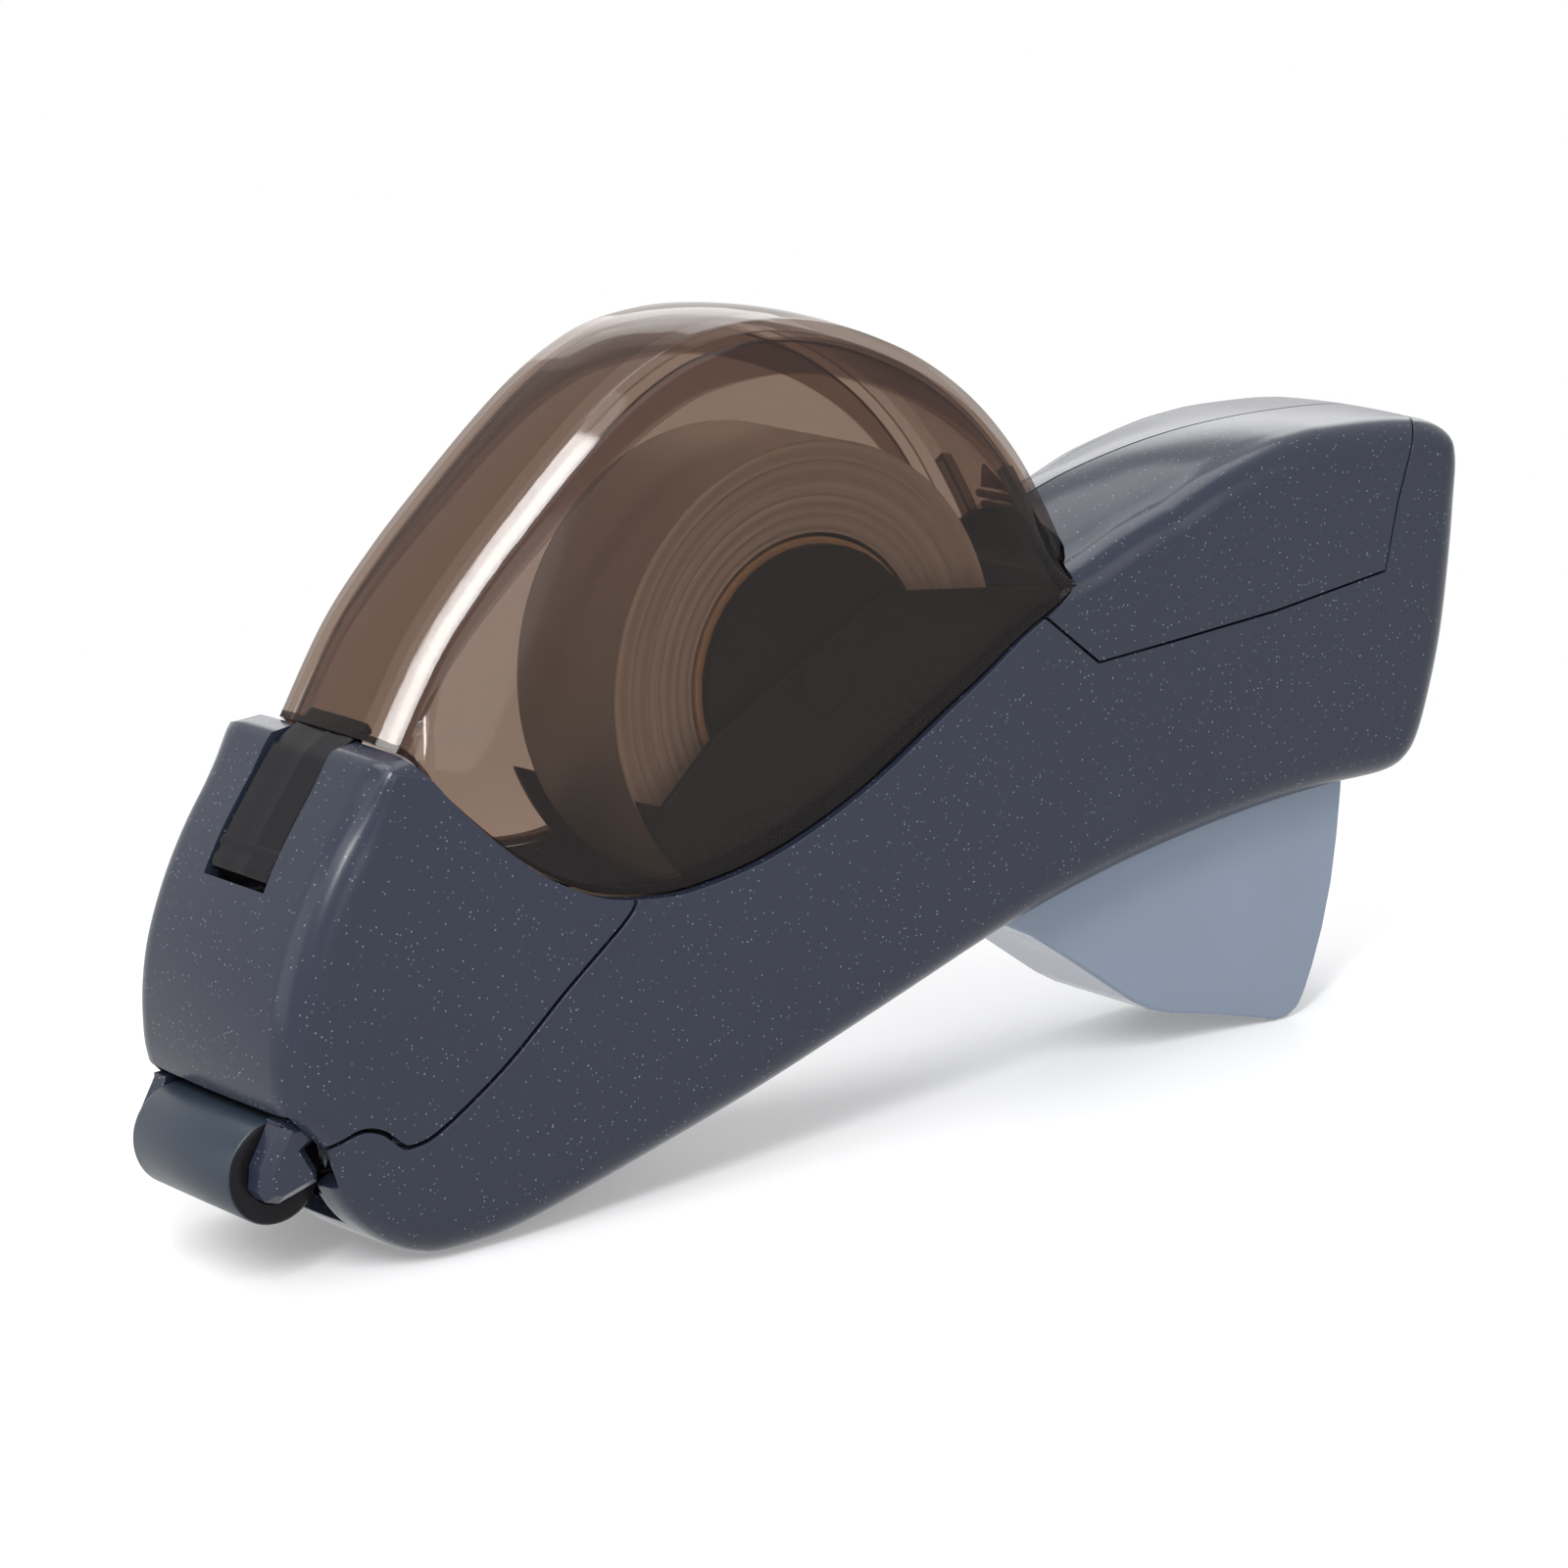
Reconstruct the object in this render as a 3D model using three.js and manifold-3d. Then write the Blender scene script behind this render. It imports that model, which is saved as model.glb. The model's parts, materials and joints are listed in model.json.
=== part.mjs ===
// One-hand tape dispenser for small-core tape: a moulded body with a nose and a handle, a hinged
// see-through cover over the tape roll, a press roller at the nose, and a trigger lever that drives
// a toothed blade down behind the roller. Millimetres, +Z up. The nose points along -X, the handle
// along +X, and the tool stands on its foot and on the heel of its trigger. Places are first worked
// out from the foot's touching point, and the whole is then centred over its own length.

import * as THREE from 'three';
import { mergeVertices } from 'three/addons/utils/BufferGeometryUtils.js';
import Module from 'manifold-3d';

const wasm = await Module();
wasm.setup();

// Driving dimensions of the moulded form. Outlines are shares of the length and the height.
const FORM_LENGTH = 167;
const FORM_HEIGHT = 91;
const HEAD_WIDTH = 31.4;
const NECK_WIDTH = 30.2;
const HANDLE_WIDTH = 28.4;
const WALL = 1.8;
const EDGE_RADIUS = 4;
const GAP = 0.3;
const OVERRUN = 40;

// Crown: how far the middle of a surface stands proud of its sides.
const HEAD_CROWN = 0.4;
const NECK_CROWN = 3.2;
const HANDLE_CROWN = 0.3;
const REAR_CROWN = 1.8;

// The tape roll and what it turns on.
const TAPE_WIDTH = 18;
const ROLL_RADIUS = 25.4;
const CORE_OUTER_RADIUS = 15.5;
const CORE_BORE_RADIUS = 12.7;
const HUB_WALL = 1.2;
const HUB_FLANGE = 1;
const HUB_FLANGE_RADIUS = 14.4;
const HUB_SLEEVE_RADIUS = 4.2;
const HUB_AXLE_RADIUS = 2;
const HUB_SPOKES = 5;
const HUB_SPOKE_WIDTH = 1.6;
const LEADER_THICKNESS = 0.3;

// The see-through cover.
const COVER_WALL = 1.4;
const COVER_TOP_WIDTH = 21.6;
const COVER_RIM_WIDTH = 28.8;
const COVER_EDGE_RADIUS = 2.6;
const COVER_CROWN = 0.5;
const TAB_WIDTH = 9.4;
const TAB_SLIT = 1.5;
const TAB_SLIT_LENGTH = 12;
const TAB_RIBS = 4;
const TAB_RIB_HEIGHT = 0.5;

// The cover's hinge in the head.
const TONGUE_WIDTH = 10.9;
const TONGUE_THICKNESS = 1.7;
const TONGUE_RECESS = 0.5;
const TONGUE_BARREL_RADIUS = 2;
const HINGE_PIN_RADIUS = 1;
const HINGE_LUG_WIDTH = 2.2;
const HINGE_LUG_RADIUS = 2.7;
const SLOT_DEPTH = 4.6;

// The cheeks and the floor of the roll bay.
const CHEEK_THICKNESS = 1.2;
const FLOOR_THICKNESS = 1.1;
const ROLL_CLEARANCE = 1.2;
const STANDOFF_RADIUS = 2.2;

// The front frame, its rollers and the cutter.
const FRAME_THICKNESS = 2;
const ARM_THICKNESS = 3.3;
const ARM_RADIUS = 4.1;
const ROLLER_RADIUS = 5.5;
const ROLLER_LENGTH = 19.2;
const ROLLER_AXLE_RADIUS = 1.2;
const ROLLER_RECESS = 0.7;
const GUIDE_RADIUS = 3.5;
const GUIDE_AXLE_RADIUS = 1.2;
const GUIDE_GROOVES = 3;
const GUIDE_GROOVE_DEPTH = 0.5;
const BLADE_THICKNESS = 0.8;
const BLADE_CLEARANCE = 1.3;
const BLADE_HEIGHT = 15.6;
const BLADE_TEETH = 13;
const TOOTH_DEPTH = 1.3;
const CARRIAGE_LENGTH = 6;
const CARRIAGE_HEIGHT = 8.4;
const RIVET_RADIUS = 0.6;
const RIVET_HEAD_RADIUS = 1.2;
const RIVET_HEAD = 0.4;

// The trigger lever.
const TRIGGER_WIDTH = 17.5;
const TRIGGER_WALL = 1.6;
const TRIGGER_BOSS_RADIUS = 3.6;
const TRIGGER_PIN_RADIUS = 2;
const LEVER_WIDTH = 12;
const LEVER_THICKNESS = 3.6;
const TRIGGER_CLEARANCE = 0.5;
const LEVER_CLEARANCE = 2;
const LEVER_TRAVEL_ROOM = 4.2;
const SPRING_RADIUS = 4;
const SPRING_WIRE = 0.9;
const SPRING_TURNS = 7;
const SPRING_POST_RADIUS = 2.4;
const SPRING_POST_HEIGHT = 4;
const SHELF_THICKNESS = 2;

// The case screws.
const SCREW_HEAD_RADIUS = 2.4;
const SCREW_HEAD_HEIGHT = 1.6;
const SCREW_RADIUS = 1.1;
const BOSS_RADIUS = 3;

// Facets on the round pieces, and steps along the curved stretches.
const FINE_FACETS = 36;
const FACETS = 24;
const SMALL_FACETS = 16;
const SCREW_FACETS = 12;
const WIRE_FACETS = 5;
const HEAD_STEPS = 10;
const HANDLE_STEPS = 9;
const REAR_STEPS = 11;
const BOTTOM_STEPS = 11;
const FOOT_STEPS = 7;
const CHIN_STEPS = 3;
const CHEEK_STEPS = 12;
const FLOOR_STEPS = 14;
const LEADER_STEPS = 8;
const SPRING_STEPS_PER_TURN = 8;
const COVER_STEPS = 20;
const EDGE_STEPS = 2;
const WALL_ROWS = 3;
const MERGE_TOLERANCE = 1e-5;

// Stretches of the body's outline, in order, as shares of the form's length and height.
const head_front_shares = [
  [-0.1018, 0.1978], [-0.1060, 0.2308], [-0.1066, 0.2747], [-0.1030, 0.3253], [-0.0958, 0.3714],
  [-0.0826, 0.4275], [-0.0653, 0.4824], [-0.0431, 0.5385], [-0.0257, 0.5813],
];
const handle_top_shares = [
  [0.5150, 0.6945], [0.5617, 0.7231], [0.5934, 0.7385], [0.6371, 0.7538], [0.6814, 0.7637],
  [0.7263, 0.7681], [0.7719, 0.7681], [0.8204, 0.7637], [0.8503, 0.7538], [0.8695, 0.7341],
];
const rear_shares = [
  [0.8695, 0.7341], [0.8760, 0.7033], [0.8760, 0.6593], [0.8719, 0.5824], [0.8635, 0.4835],
  [0.8533, 0.4121], [0.8401, 0.3462], [0.8263, 0.3143], [0.8054, 0.3011],
];
const bottom_shares = [
  [0.8054, 0.3011], [0.7545, 0.3000], [0.6994, 0.2945], [0.6455, 0.2846], [0.5928, 0.2714],
  [0.5401, 0.2538], [0.4886, 0.2319], [0.4383, 0.2055], [0.3551, 0.1560], [0.2503, 0.0956],
  [0.1557, 0.0484], [0.0886, 0.0165], [0.0569, 0.0044], [0.0329, 0],
];
const foot_shares = [
  [0.0030, 0], [-0.0156, 0.0088], [-0.0311, 0.0231], [-0.0455, 0.0429], [-0.0587, 0.0681],
  [-0.0695, 0.1011], [-0.0766, 0.1341], [-0.0790, 0.1560],
];
const chin_shares = [[-0.0790, 0.1560], [-0.0910, 0.1637], [-0.0982, 0.1780], [-0.1018, 0.1978]];

// The cover's top line from front to rear, and its lower rim on either side.
const cover_top_shares = [
  [-0.0114, 0.5912], [0.0240, 0.6921], [0.0617, 0.7679], [0.1018, 0.8350], [0.1413, 0.8965],
  [0.1737, 0.9407], [0.2012, 0.9692], [0.2305, 0.9900], [0.2665, 1.0000], [0.3030, 1.0000],
  [0.3413, 0.9879], [0.3802, 0.9637], [0.4222, 0.9253], [0.4623, 0.8703], [0.4958, 0.8022],
  [0.5198, 0.7319], [0.5401, 0.6571],
];
const cover_rim_shares = [
  [0.0085, 0.5539], [0.0246, 0.5198], [0.0515, 0.4714], [0.0790, 0.4297], [0.1072, 0.3989],
  [0.1365, 0.3780], [0.1808, 0.3670], [0.2114, 0.3703], [0.2425, 0.3791], [0.2737, 0.3945],
  [0.3132, 0.4220], [0.3539, 0.4582], [0.4030, 0.5110], [0.4365, 0.5462], [0.4701, 0.5846],
  [0.5036, 0.6160], [0.5162, 0.6330],
];

// The seam between the nose and the body, from the foot up to the cover's rim.
const nose_seam_shares = [
  [-0.0800, 0.1580], [-0.0731, 0.1692], [-0.0623, 0.1780], [-0.0515, 0.1791], [-0.0413, 0.1725],
  [-0.0347, 0.1637], [-0.0281, 0.1527], [-0.0210, 0.1484], [0.0000, 0.1593], [0.0479, 0.2143],
  [0.0958, 0.2857], [0.1347, 0.3396], [0.1407, 0.3484], [0.1491, 0.3659], [0.1491, 0.3956],
];

// The handle panel: its lower edge on the side, and where its rear edge meets the middle seam.
const panel_side_shares = [
  [0.4760, 0.6231], [0.5347, 0.5341], [0.6048, 0.5418], [0.6934, 0.5527], [0.7952, 0.5758],
  [0.8072, 0.6615], [0.8216, 0.7330],
];
const panel_rear_shift_share = 0.048;

// The trigger's grip and the front frame's plate.
const grip_shares = [
  [0.4395, 0.2363], [0.4581, 0.2264], [0.4766, 0.2121], [0.5030, 0.1868], [0.5371, 0.1429],
  [0.5713, 0.0967], [0.5886, 0.0736], [0.6060, 0.0549], [0.6257, 0.0429], [0.6683, 0.0253],
  [0.7096, 0.0055], [0.7174, 0], [0.7305, 0], [0.7413, 0.0099], [0.7479, 0.0286],
  [0.7557, 0.0593], [0.7653, 0.1055], [0.7743, 0.1648], [0.7802, 0.2253], [0.7844, 0.2857],
  [0.7856, 0.3297], [0.6000, 0.3240], [0.4790, 0.3187],
];
const frame_plate_shares = [
  [-0.0850, 0.1900], [-0.0835, 0.3400], [-0.0680, 0.3900], [-0.0240, 0.3930], [0.0120, 0.3300],
  [0.0120, 0.2300], [-0.0180, 0.1760], [-0.0850, 0.1760],
];

// An arm of the front frame, as shares of the arm's radius about the press roller's axis. Its top is
// at the recess's upper edge.
const arm_front_shares = [[-0.22, 1.34], [-0.79, 0.37], [-0.86, -0.20], [-0.70, -0.46], [-0.34, -0.57]];
const arm_rear_shares = [[0.80, -0.24], [0.79, 0.10], [0.48, 0.66], [1.00, 1.02]];

// The cheek's upper edge and its pads, as shares of the roll's radius about the roll's axis, and the
// turns between which the cheek and the floor follow the roll.
const cheek_edge_shares = [[1.398, 0.200], [0.335, 0.327], [-0.551, -0.134], [-0.846, -0.402]];
const standoff_place_shares = [[-0.335, -0.854], [1.024, -0.224]];
const cheek_turn_shares = [0.5556, 0.9500];
const floor_turn_shares = [0.728, 0.965];

// Single places, as shares of the form's length and height.
const roll_place_share = 0.3204;
const roller_axis_share = [-0.0964, 0.1299];
const guide_axis_share = [-0.0419, 0.3407];
const trigger_turn_share = 0.8368;
const lever_tip_height_share = 0.2407;
const cover_hinge_share = [-0.0599, 0.4635];
const slot_bottom_share = 0.4340;
const nose_edge_share = 0.1989;
const spring_axis_share = 0.6587;
const spring_foot_share = 0.1758;
const shelf_share = 0.4615;
const bulkhead_foot_share = 0.4340;
const tab_top_share = 0.7700;
const grip_slot_shares = [0.4370, 0.7908];
const screw_place_shares = [[0.0539, 0.0710], [0.5749, 0.4835], [0.7904, 0.4835]];
const leader_end_share = [-0.0856, 0.2060];
const lever_bend_share = 0.1796;
const lever_shares = [[0.0240, 0.2407]];
const width_place_shares = [0.12, 0.36, 0.72];
const rivet_place_share = 0.6;

const place = ([xShare, zShare]) => new THREE.Vector2(xShare * FORM_LENGTH, zShare * FORM_HEIGHT);

// A place given as shares of a radius about a centre.
const placeAbout = (centre, radius, [xShare, zShare]) => (
  new THREE.Vector2(xShare, zShare).multiplyScalar(radius).add(centre)
);

// The underside of the body at a place along it.
function undersideAt(x) {
  const points = bottom_shares.map(place);
  const next = points.findIndex((point) => point.x < x);
  const [after, before] = [points[next - 1], points[next]];
  return THREE.MathUtils.mapLinear(x, before.x, after.x, before.y, after.y);
}

// From the underside up: the wall, the lever with the room for its travel, the bay's floor, the roll.
const rollX = roll_place_share * FORM_LENGTH;
const leverTop = undersideAt(rollX) + WALL + LEVER_TRAVEL_ROOM + LEVER_THICKNESS;
const floorBottom = leverTop + LEVER_CLEARANCE;
const ROLL = new THREE.Vector2(rollX, floorBottom + FLOOR_THICKNESS + ROLL_CLEARANCE + ROLL_RADIUS);
const ROLLER = place(roller_axis_share);
const GUIDE = place(guide_axis_share);
const COVER_HINGE = place(cover_hinge_share);

// The trigger's boss clears the bay's floor, and the blade passes close behind the press roller.
const bayOuter = ROLL_RADIUS + ROLL_CLEARANCE + FLOOR_THICKNESS;
const triggerReach = bayOuter + TRIGGER_CLEARANCE + TRIGGER_BOSS_RADIUS;
const TRIGGER = around(ROLL, triggerReach, trigger_turn_share * 2 * Math.PI);
const bladeFront = ROLLER.x + ROLLER_RADIUS + BLADE_CLEARANCE;
const bladeBack = bladeFront + BLADE_THICKNESS;
const carriageFront = bladeBack + GAP;
const leverTipX = carriageFront + CARRIAGE_LENGTH / 2;
const LEVER_TIP = new THREE.Vector2(leverTipX, lever_tip_height_share * FORM_HEIGHT);

// Places across the tool, from the middle outwards.
const halfTape = TAPE_WIDTH / 2;
const flangeIn = halfTape + GAP;
const flangeOut = flangeIn + HUB_FLANGE;
const cheekIn = flangeOut + GAP;
const cheekOut = cheekIn + CHEEK_THICKNESS;
const frameIn = ROLLER_LENGTH / 2 + GAP;
const frameOut = frameIn + FRAME_THICKNESS;
const armOut = frameIn + ARM_THICKNESS;
const halfTrigger = TRIGGER_WIDTH / 2;

// Turns a closed geometry into a solid, with its faces outwards.
function solid(geometry) {
  geometry.deleteAttribute('normal');
  geometry.deleteAttribute('uv');
  const merged = mergeVertices(geometry, MERGE_TOLERANCE);
  const vertProperties = new Float32Array(merged.attributes.position.array);
  const triVerts = new Uint32Array(merged.index.array);
  const result = new wasm.Manifold(new wasm.Mesh({ numProp: 3, vertProperties, triVerts }));
  if (result.volume() > 0) return result;
  for (let i = 0; i < triVerts.length; i += 3) {
    [triVerts[i + 1], triVerts[i + 2]] = [triVerts[i + 2], triVerts[i + 1]];
  }
  return new wasm.Manifold(new wasm.Mesh({ numProp: 3, vertProperties, triVerts }));
}

// A flat outline in X and Z, given as a closed loop, made solid from one Y to another.
function prism(outline, fromY, toY, holes = []) {
  const shape = new THREE.Shape(outline);
  shape.holes = holes.map((hole) => new THREE.Path(hole));
  const settings = { depth: toY - fromY, bevelEnabled: false, curveSegments: 1 };
  const geometry = new THREE.ExtrudeGeometry(shape, settings);
  geometry.rotateX(Math.PI / 2);
  geometry.translate(0, toY, 0);
  return solid(geometry);
}

function box(fromX, toX, fromY, toY, fromZ, toZ) {
  const geometry = new THREE.BoxGeometry(toX - fromX, toY - fromY, toZ - fromZ);
  geometry.translate((fromX + toX) / 2, (fromY + toY) / 2, (fromZ + toZ) / 2);
  return solid(geometry);
}

// A round bar across the tool, with its axis along Y.
function crossBar(centre, radius, fromY, toY, facets = SMALL_FACETS) {
  const geometry = new THREE.CylinderGeometry(radius, radius, toY - fromY, facets);
  geometry.translate(centre.x, (fromY + toY) / 2, centre.y);
  return solid(geometry);
}

// A round piece turned about Y from a closed loop of [radius, y] pairs.
function turned(centre, loop, facets = FACETS) {
  const points = [...loop, loop[0]].map(([radius, y]) => new THREE.Vector2(radius, y));
  const geometry = new THREE.LatheGeometry(points, facets);
  geometry.translate(centre.x, 0, centre.y);
  return solid(geometry);
}

function ring(centre, inner, outer, fromY, toY, facets = FACETS) {
  return turned(centre, [[inner, fromY], [outer, fromY], [outer, toY], [inner, toY]], facets);
}

// The point at a radius and a turn about a centre.
function around(centre, radius, turn) {
  return new THREE.Vector2(centre.x + radius * Math.cos(turn), centre.y + radius * Math.sin(turn));
}

// Points along an arc, between two turns.
function arc(centre, radius, from, to, steps) {
  const points = [];
  for (let i = 0; i <= steps; i += 1) {
    points.push(around(centre, radius, THREE.MathUtils.lerp(from, to, i / steps)));
  }
  return points;
}

function circle(centre, radius, facets) {
  return arc(centre, radius, 0, 2 * Math.PI, facets).slice(1);
}

function smooth(shares, steps) {
  return new THREE.SplineCurve(shares.map(place)).getSpacedPoints(steps);
}

// The outward side of each point of a path, for a loop that runs clockwise seen from the near side.
function sides(points, closed) {
  const count = points.length;
  return points.map((point, i) => {
    const before = closed ? points[(i + count - 1) % count] : points[Math.max(i - 1, 0)];
    const after = closed ? points[(i + 1) % count] : points[Math.min(i + 1, count - 1)];
    const into = point.clone().sub(before).normalize();
    const out = after.clone().sub(point).normalize();
    const along = into.add(out).normalize();
    return new THREE.Vector2(-along.y, along.x);
  });
}

function moved(points, distance, closed = false) {
  const side = sides(points, closed);
  return points.map((point, i) => point.clone().addScaledVector(side[i], distance));
}

// A path made longer at both of its ends.
function lengthened(points, distance) {
  const count = points.length;
  const start = points[0].clone().sub(points[1]).setLength(distance).add(points[0]);
  const end = points[count - 1].clone().sub(points[count - 2]).setLength(distance).add(points[count - 1]);
  return [start, ...points, end];
}

// The moulded form is a loop of stretches, each with its crown at its start and at its end.
const bodyStretches = [
  { points: smooth(head_front_shares, HEAD_STEPS), crown: [HEAD_CROWN, HEAD_CROWN] },
  { points: smooth(handle_top_shares, HANDLE_STEPS), crown: [NECK_CROWN, HANDLE_CROWN] },
  { points: smooth(rear_shares, REAR_STEPS), crown: [HANDLE_CROWN, REAR_CROWN, 0] },
  { points: smooth(bottom_shares, BOTTOM_STEPS), crown: [0, 0] },
  { points: smooth(foot_shares, FOOT_STEPS), crown: [0, HEAD_CROWN] },
  { points: smooth(chin_shares, CHIN_STEPS), crown: [HEAD_CROWN, HEAD_CROWN] },
];
const bodyOutline = [];
for (const { points, crown } of bodyStretches) {
  points.forEach((point, i) => {
    const last = bodyOutline[bodyOutline.length - 1];
    if (last && last.point.distanceTo(point) < GAP / 10) return;
    const where = (i / (points.length - 1)) * (crown.length - 1);
    const low = Math.min(Math.floor(where), crown.length - 2);
    bodyOutline.push({ point, crown: THREE.MathUtils.lerp(crown[low], crown[low + 1], where - low) });
  });
}
const loopEnd = bodyOutline[bodyOutline.length - 1].point;
if (bodyOutline[0].point.distanceTo(loopEnd) < GAP / 10) bodyOutline.pop();

// The body's half width follows its length: full at the head, less at the neck and the handle.
function halfWidth(x) {
  const { mapLinear } = THREE.MathUtils;
  const [headEnd, neck, handle] = width_place_shares.map((share) => share * FORM_LENGTH);
  if (x < neck) return mapLinear(Math.max(x, headEnd), headEnd, neck, HEAD_WIDTH, NECK_WIDTH) / 2;
  return mapLinear(Math.min(x, handle), neck, handle, NECK_WIDTH, HANDLE_WIDTH) / 2;
}

// Rows across the form: the rounded edges, then the crowned middle.
function rowsAcross() {
  const rows = [];
  for (let i = EDGE_STEPS; i >= 0; i -= 1) rows.push({ side: -1, turn: (i / EDGE_STEPS) * (Math.PI / 2) });
  for (const across of [-0.5, 0, 0.5]) rows.push({ across });
  for (let i = 0; i <= EDGE_STEPS; i += 1) rows.push({ side: 1, turn: (i / EDGE_STEPS) * (Math.PI / 2) });
  return rows;
}

function fromGrid(grid, capped) {
  const rows = grid.length;
  const columns = grid[0].length;
  const positions = grid.flat().flatMap((point) => [point.x, point.y, point.z]);
  const index = [];
  for (let j = 0; j < rows - 1; j += 1) {
    for (let i = 0; i < columns; i += 1) {
      const next = (i + 1) % columns;
      const a = j * columns + i;
      const b = j * columns + next;
      const c = (j + 1) * columns + next;
      const d = (j + 1) * columns + i;
      index.push(a, b, c, a, c, d);
    }
  }
  const last = (rows - 1) * columns;
  const clockwise = THREE.ShapeUtils.isClockWise(capped);
  for (const triangle of THREE.ShapeUtils.triangulateShape(capped, [])) {
    const [p, q, r] = clockwise ? triangle.slice().reverse() : triangle;
    index.push(p, r, q, last + p, last + q, last + r);
  }
  const geometry = new THREE.BufferGeometry();
  geometry.setAttribute('position', new THREE.Float32BufferAttribute(positions, 3));
  geometry.setIndex(index);
  return geometry;
}

// How far each point of a clockwise loop can move inwards before its neighbours cross it.
const REACH_SHARE = 0.8;
function reachInwards(points) {
  const count = points.length;
  const alone = points.map((point, i) => {
    const into = point.clone().sub(points[(i + count - 1) % count]);
    const out = points[(i + 1) % count].clone().sub(point);
    const turn = Math.atan2(out.cross(into), out.dot(into));
    const radius = (into.length() + out.length()) / 2 / Math.abs(turn);
    return turn > 0 ? REACH_SHARE * radius : Infinity;
  });
  const near = [-2, -1, 1, 2];
  return alone.map((own, i) => Math.min(own, ...near.map((step) => alone[(i + count + step) % count])));
}

// The form shrunk all round by a distance: nought is the outside, the wall gives the inside.
function form(shrink) {
  const points = bodyOutline.map(({ point }) => point);
  const side = sides(points, true);
  const reach = reachInwards(points);
  const edge = Math.max(EDGE_RADIUS - shrink, EDGE_RADIUS / 4);
  const rowPoints = ({ side: sign, turn, across }) => bodyOutline.map(({ point, crown }, i) => {
    const flat = halfWidth(point.x) - shrink - edge;
    const y = across === undefined ? sign * (flat + edge * Math.sin(turn)) : across * flat;
    const drop = across === undefined ? crown + edge * (1 - Math.cos(turn)) : crown * across * across;
    const limit = Math.min((reach[i] - shrink) / (crown + edge), 1);
    const at = point.clone().addScaledVector(side[i], -shrink - limit * drop);
    return new THREE.Vector3(at.x, y, at.y);
  });
  const grid = rowsAcross().map(rowPoints);
  const cap = grid[0].map((point) => new THREE.Vector2(point.x, point.z));
  return solid(fromGrid(grid, cap));
}

// The cover: a wall that follows the top line, rounds over at its edges and runs down to the rims.
function coverGrid(grow) {
  const top = smooth(cover_top_shares, COVER_STEPS);
  const rim = smooth(cover_rim_shares, COVER_STEPS);
  const side = sides(top, false);
  const flat = COVER_TOP_WIDTH / 2 - COVER_EDGE_RADIUS;
  const half = [];
  for (let i = WALL_ROWS; i > 0; i -= 1) half.push({ down: i / WALL_ROWS });
  for (let i = EDGE_STEPS; i >= 0; i -= 1) half.push({ turn: (i / EDGE_STEPS) * (Math.PI / 2) });
  half.push({ across: 0.5 });
  const rowPoints = ({ down, turn, across }, sign) => top.map((point, i) => {
    const full = COVER_CROWN + COVER_EDGE_RADIUS;
    if (down !== undefined) {
      const start = point.clone().addScaledVector(side[i], -full);
      const at = start.lerp(rim[i], down);
      const spread = Math.sin(down * (Math.PI / 2)) * (COVER_RIM_WIDTH - COVER_TOP_WIDTH) / 2;
      return new THREE.Vector3(at.x, sign * (COVER_TOP_WIDTH / 2 + spread), at.y);
    }
    const round = turn !== undefined;
    const rounding = COVER_EDGE_RADIUS * (1 - Math.cos(turn ?? 0));
    const inset = round ? COVER_CROWN + rounding : COVER_CROWN * across * across;
    const y = round ? flat + COVER_EDGE_RADIUS * Math.sin(turn) : across * flat;
    const at = point.clone().addScaledVector(side[i], -inset);
    return new THREE.Vector3(at.x, sign * y, at.y);
  });
  const grid = [
    ...half.map((row) => rowPoints(row, -1)),
    rowPoints({ across: 0 }, 1),
    ...half.slice().reverse().map((row) => rowPoints(row, 1)),
  ];
  return grid.map((row, j) => row.map((point, i) => {
    const along = row[Math.min(i + 1, row.length - 1)].clone().sub(row[Math.max(i - 1, 0)]);
    const over = grid[Math.min(j + 1, grid.length - 1)][i].clone().sub(grid[Math.max(j - 1, 0)][i]);
    const out = along.cross(over).normalize();
    return point.clone().addScaledVector(out, -grow);
  }));
}

// A closed shell between an outer and an inner sheet of the same grid.
function shellOf(outer, inner) {
  const rows = outer.length;
  const columns = outer[0].length;
  const positions = [...outer.flat(), ...inner.flat()].flatMap((point) => [point.x, point.y, point.z]);
  const count = rows * columns;
  const index = [];
  const quad = (a, b, c, d) => index.push(a, b, c, a, c, d);
  for (let j = 0; j < rows - 1; j += 1) {
    for (let i = 0; i < columns - 1; i += 1) {
      const a = j * columns + i;
      quad(a, a + 1, a + columns + 1, a + columns);
      quad(count + a, count + a + columns, count + a + columns + 1, count + a + 1);
    }
  }
  for (let i = 0; i < columns - 1; i += 1) {
    quad(i + 1, i, count + i, count + i + 1);
    const a = (rows - 1) * columns + i;
    quad(a, a + 1, count + a + 1, count + a);
  }
  for (let j = 0; j < rows - 1; j += 1) {
    const a = j * columns;
    quad(a, a + columns, count + a + columns, count + a);
    const b = a + columns - 1;
    quad(b + columns, b, count + b, count + b + columns);
  }
  const geometry = new THREE.BufferGeometry();
  geometry.setAttribute('position', new THREE.Float32BufferAttribute(positions, 3));
  geometry.setIndex(index);
  return solid(geometry);
}

// The outline of a bar along a path, with a round far end.
function barOutline(path, thickness) {
  const half = thickness / 2;
  const upper = moved(path, half);
  const lower = moved(path, -half).reverse();
  const tip = path[path.length - 1];
  const before = path[path.length - 2];
  const heading = Math.atan2(tip.y - before.y, tip.x - before.x);
  const quarter = Math.PI / 2;
  const round = arc(tip, half, heading + quarter, heading - quarter, SMALL_FACETS / 2).slice(1, -1);
  return [...upper, ...round, ...lower];
}

const outside = form(0);
const inside = form(WALL);

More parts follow.
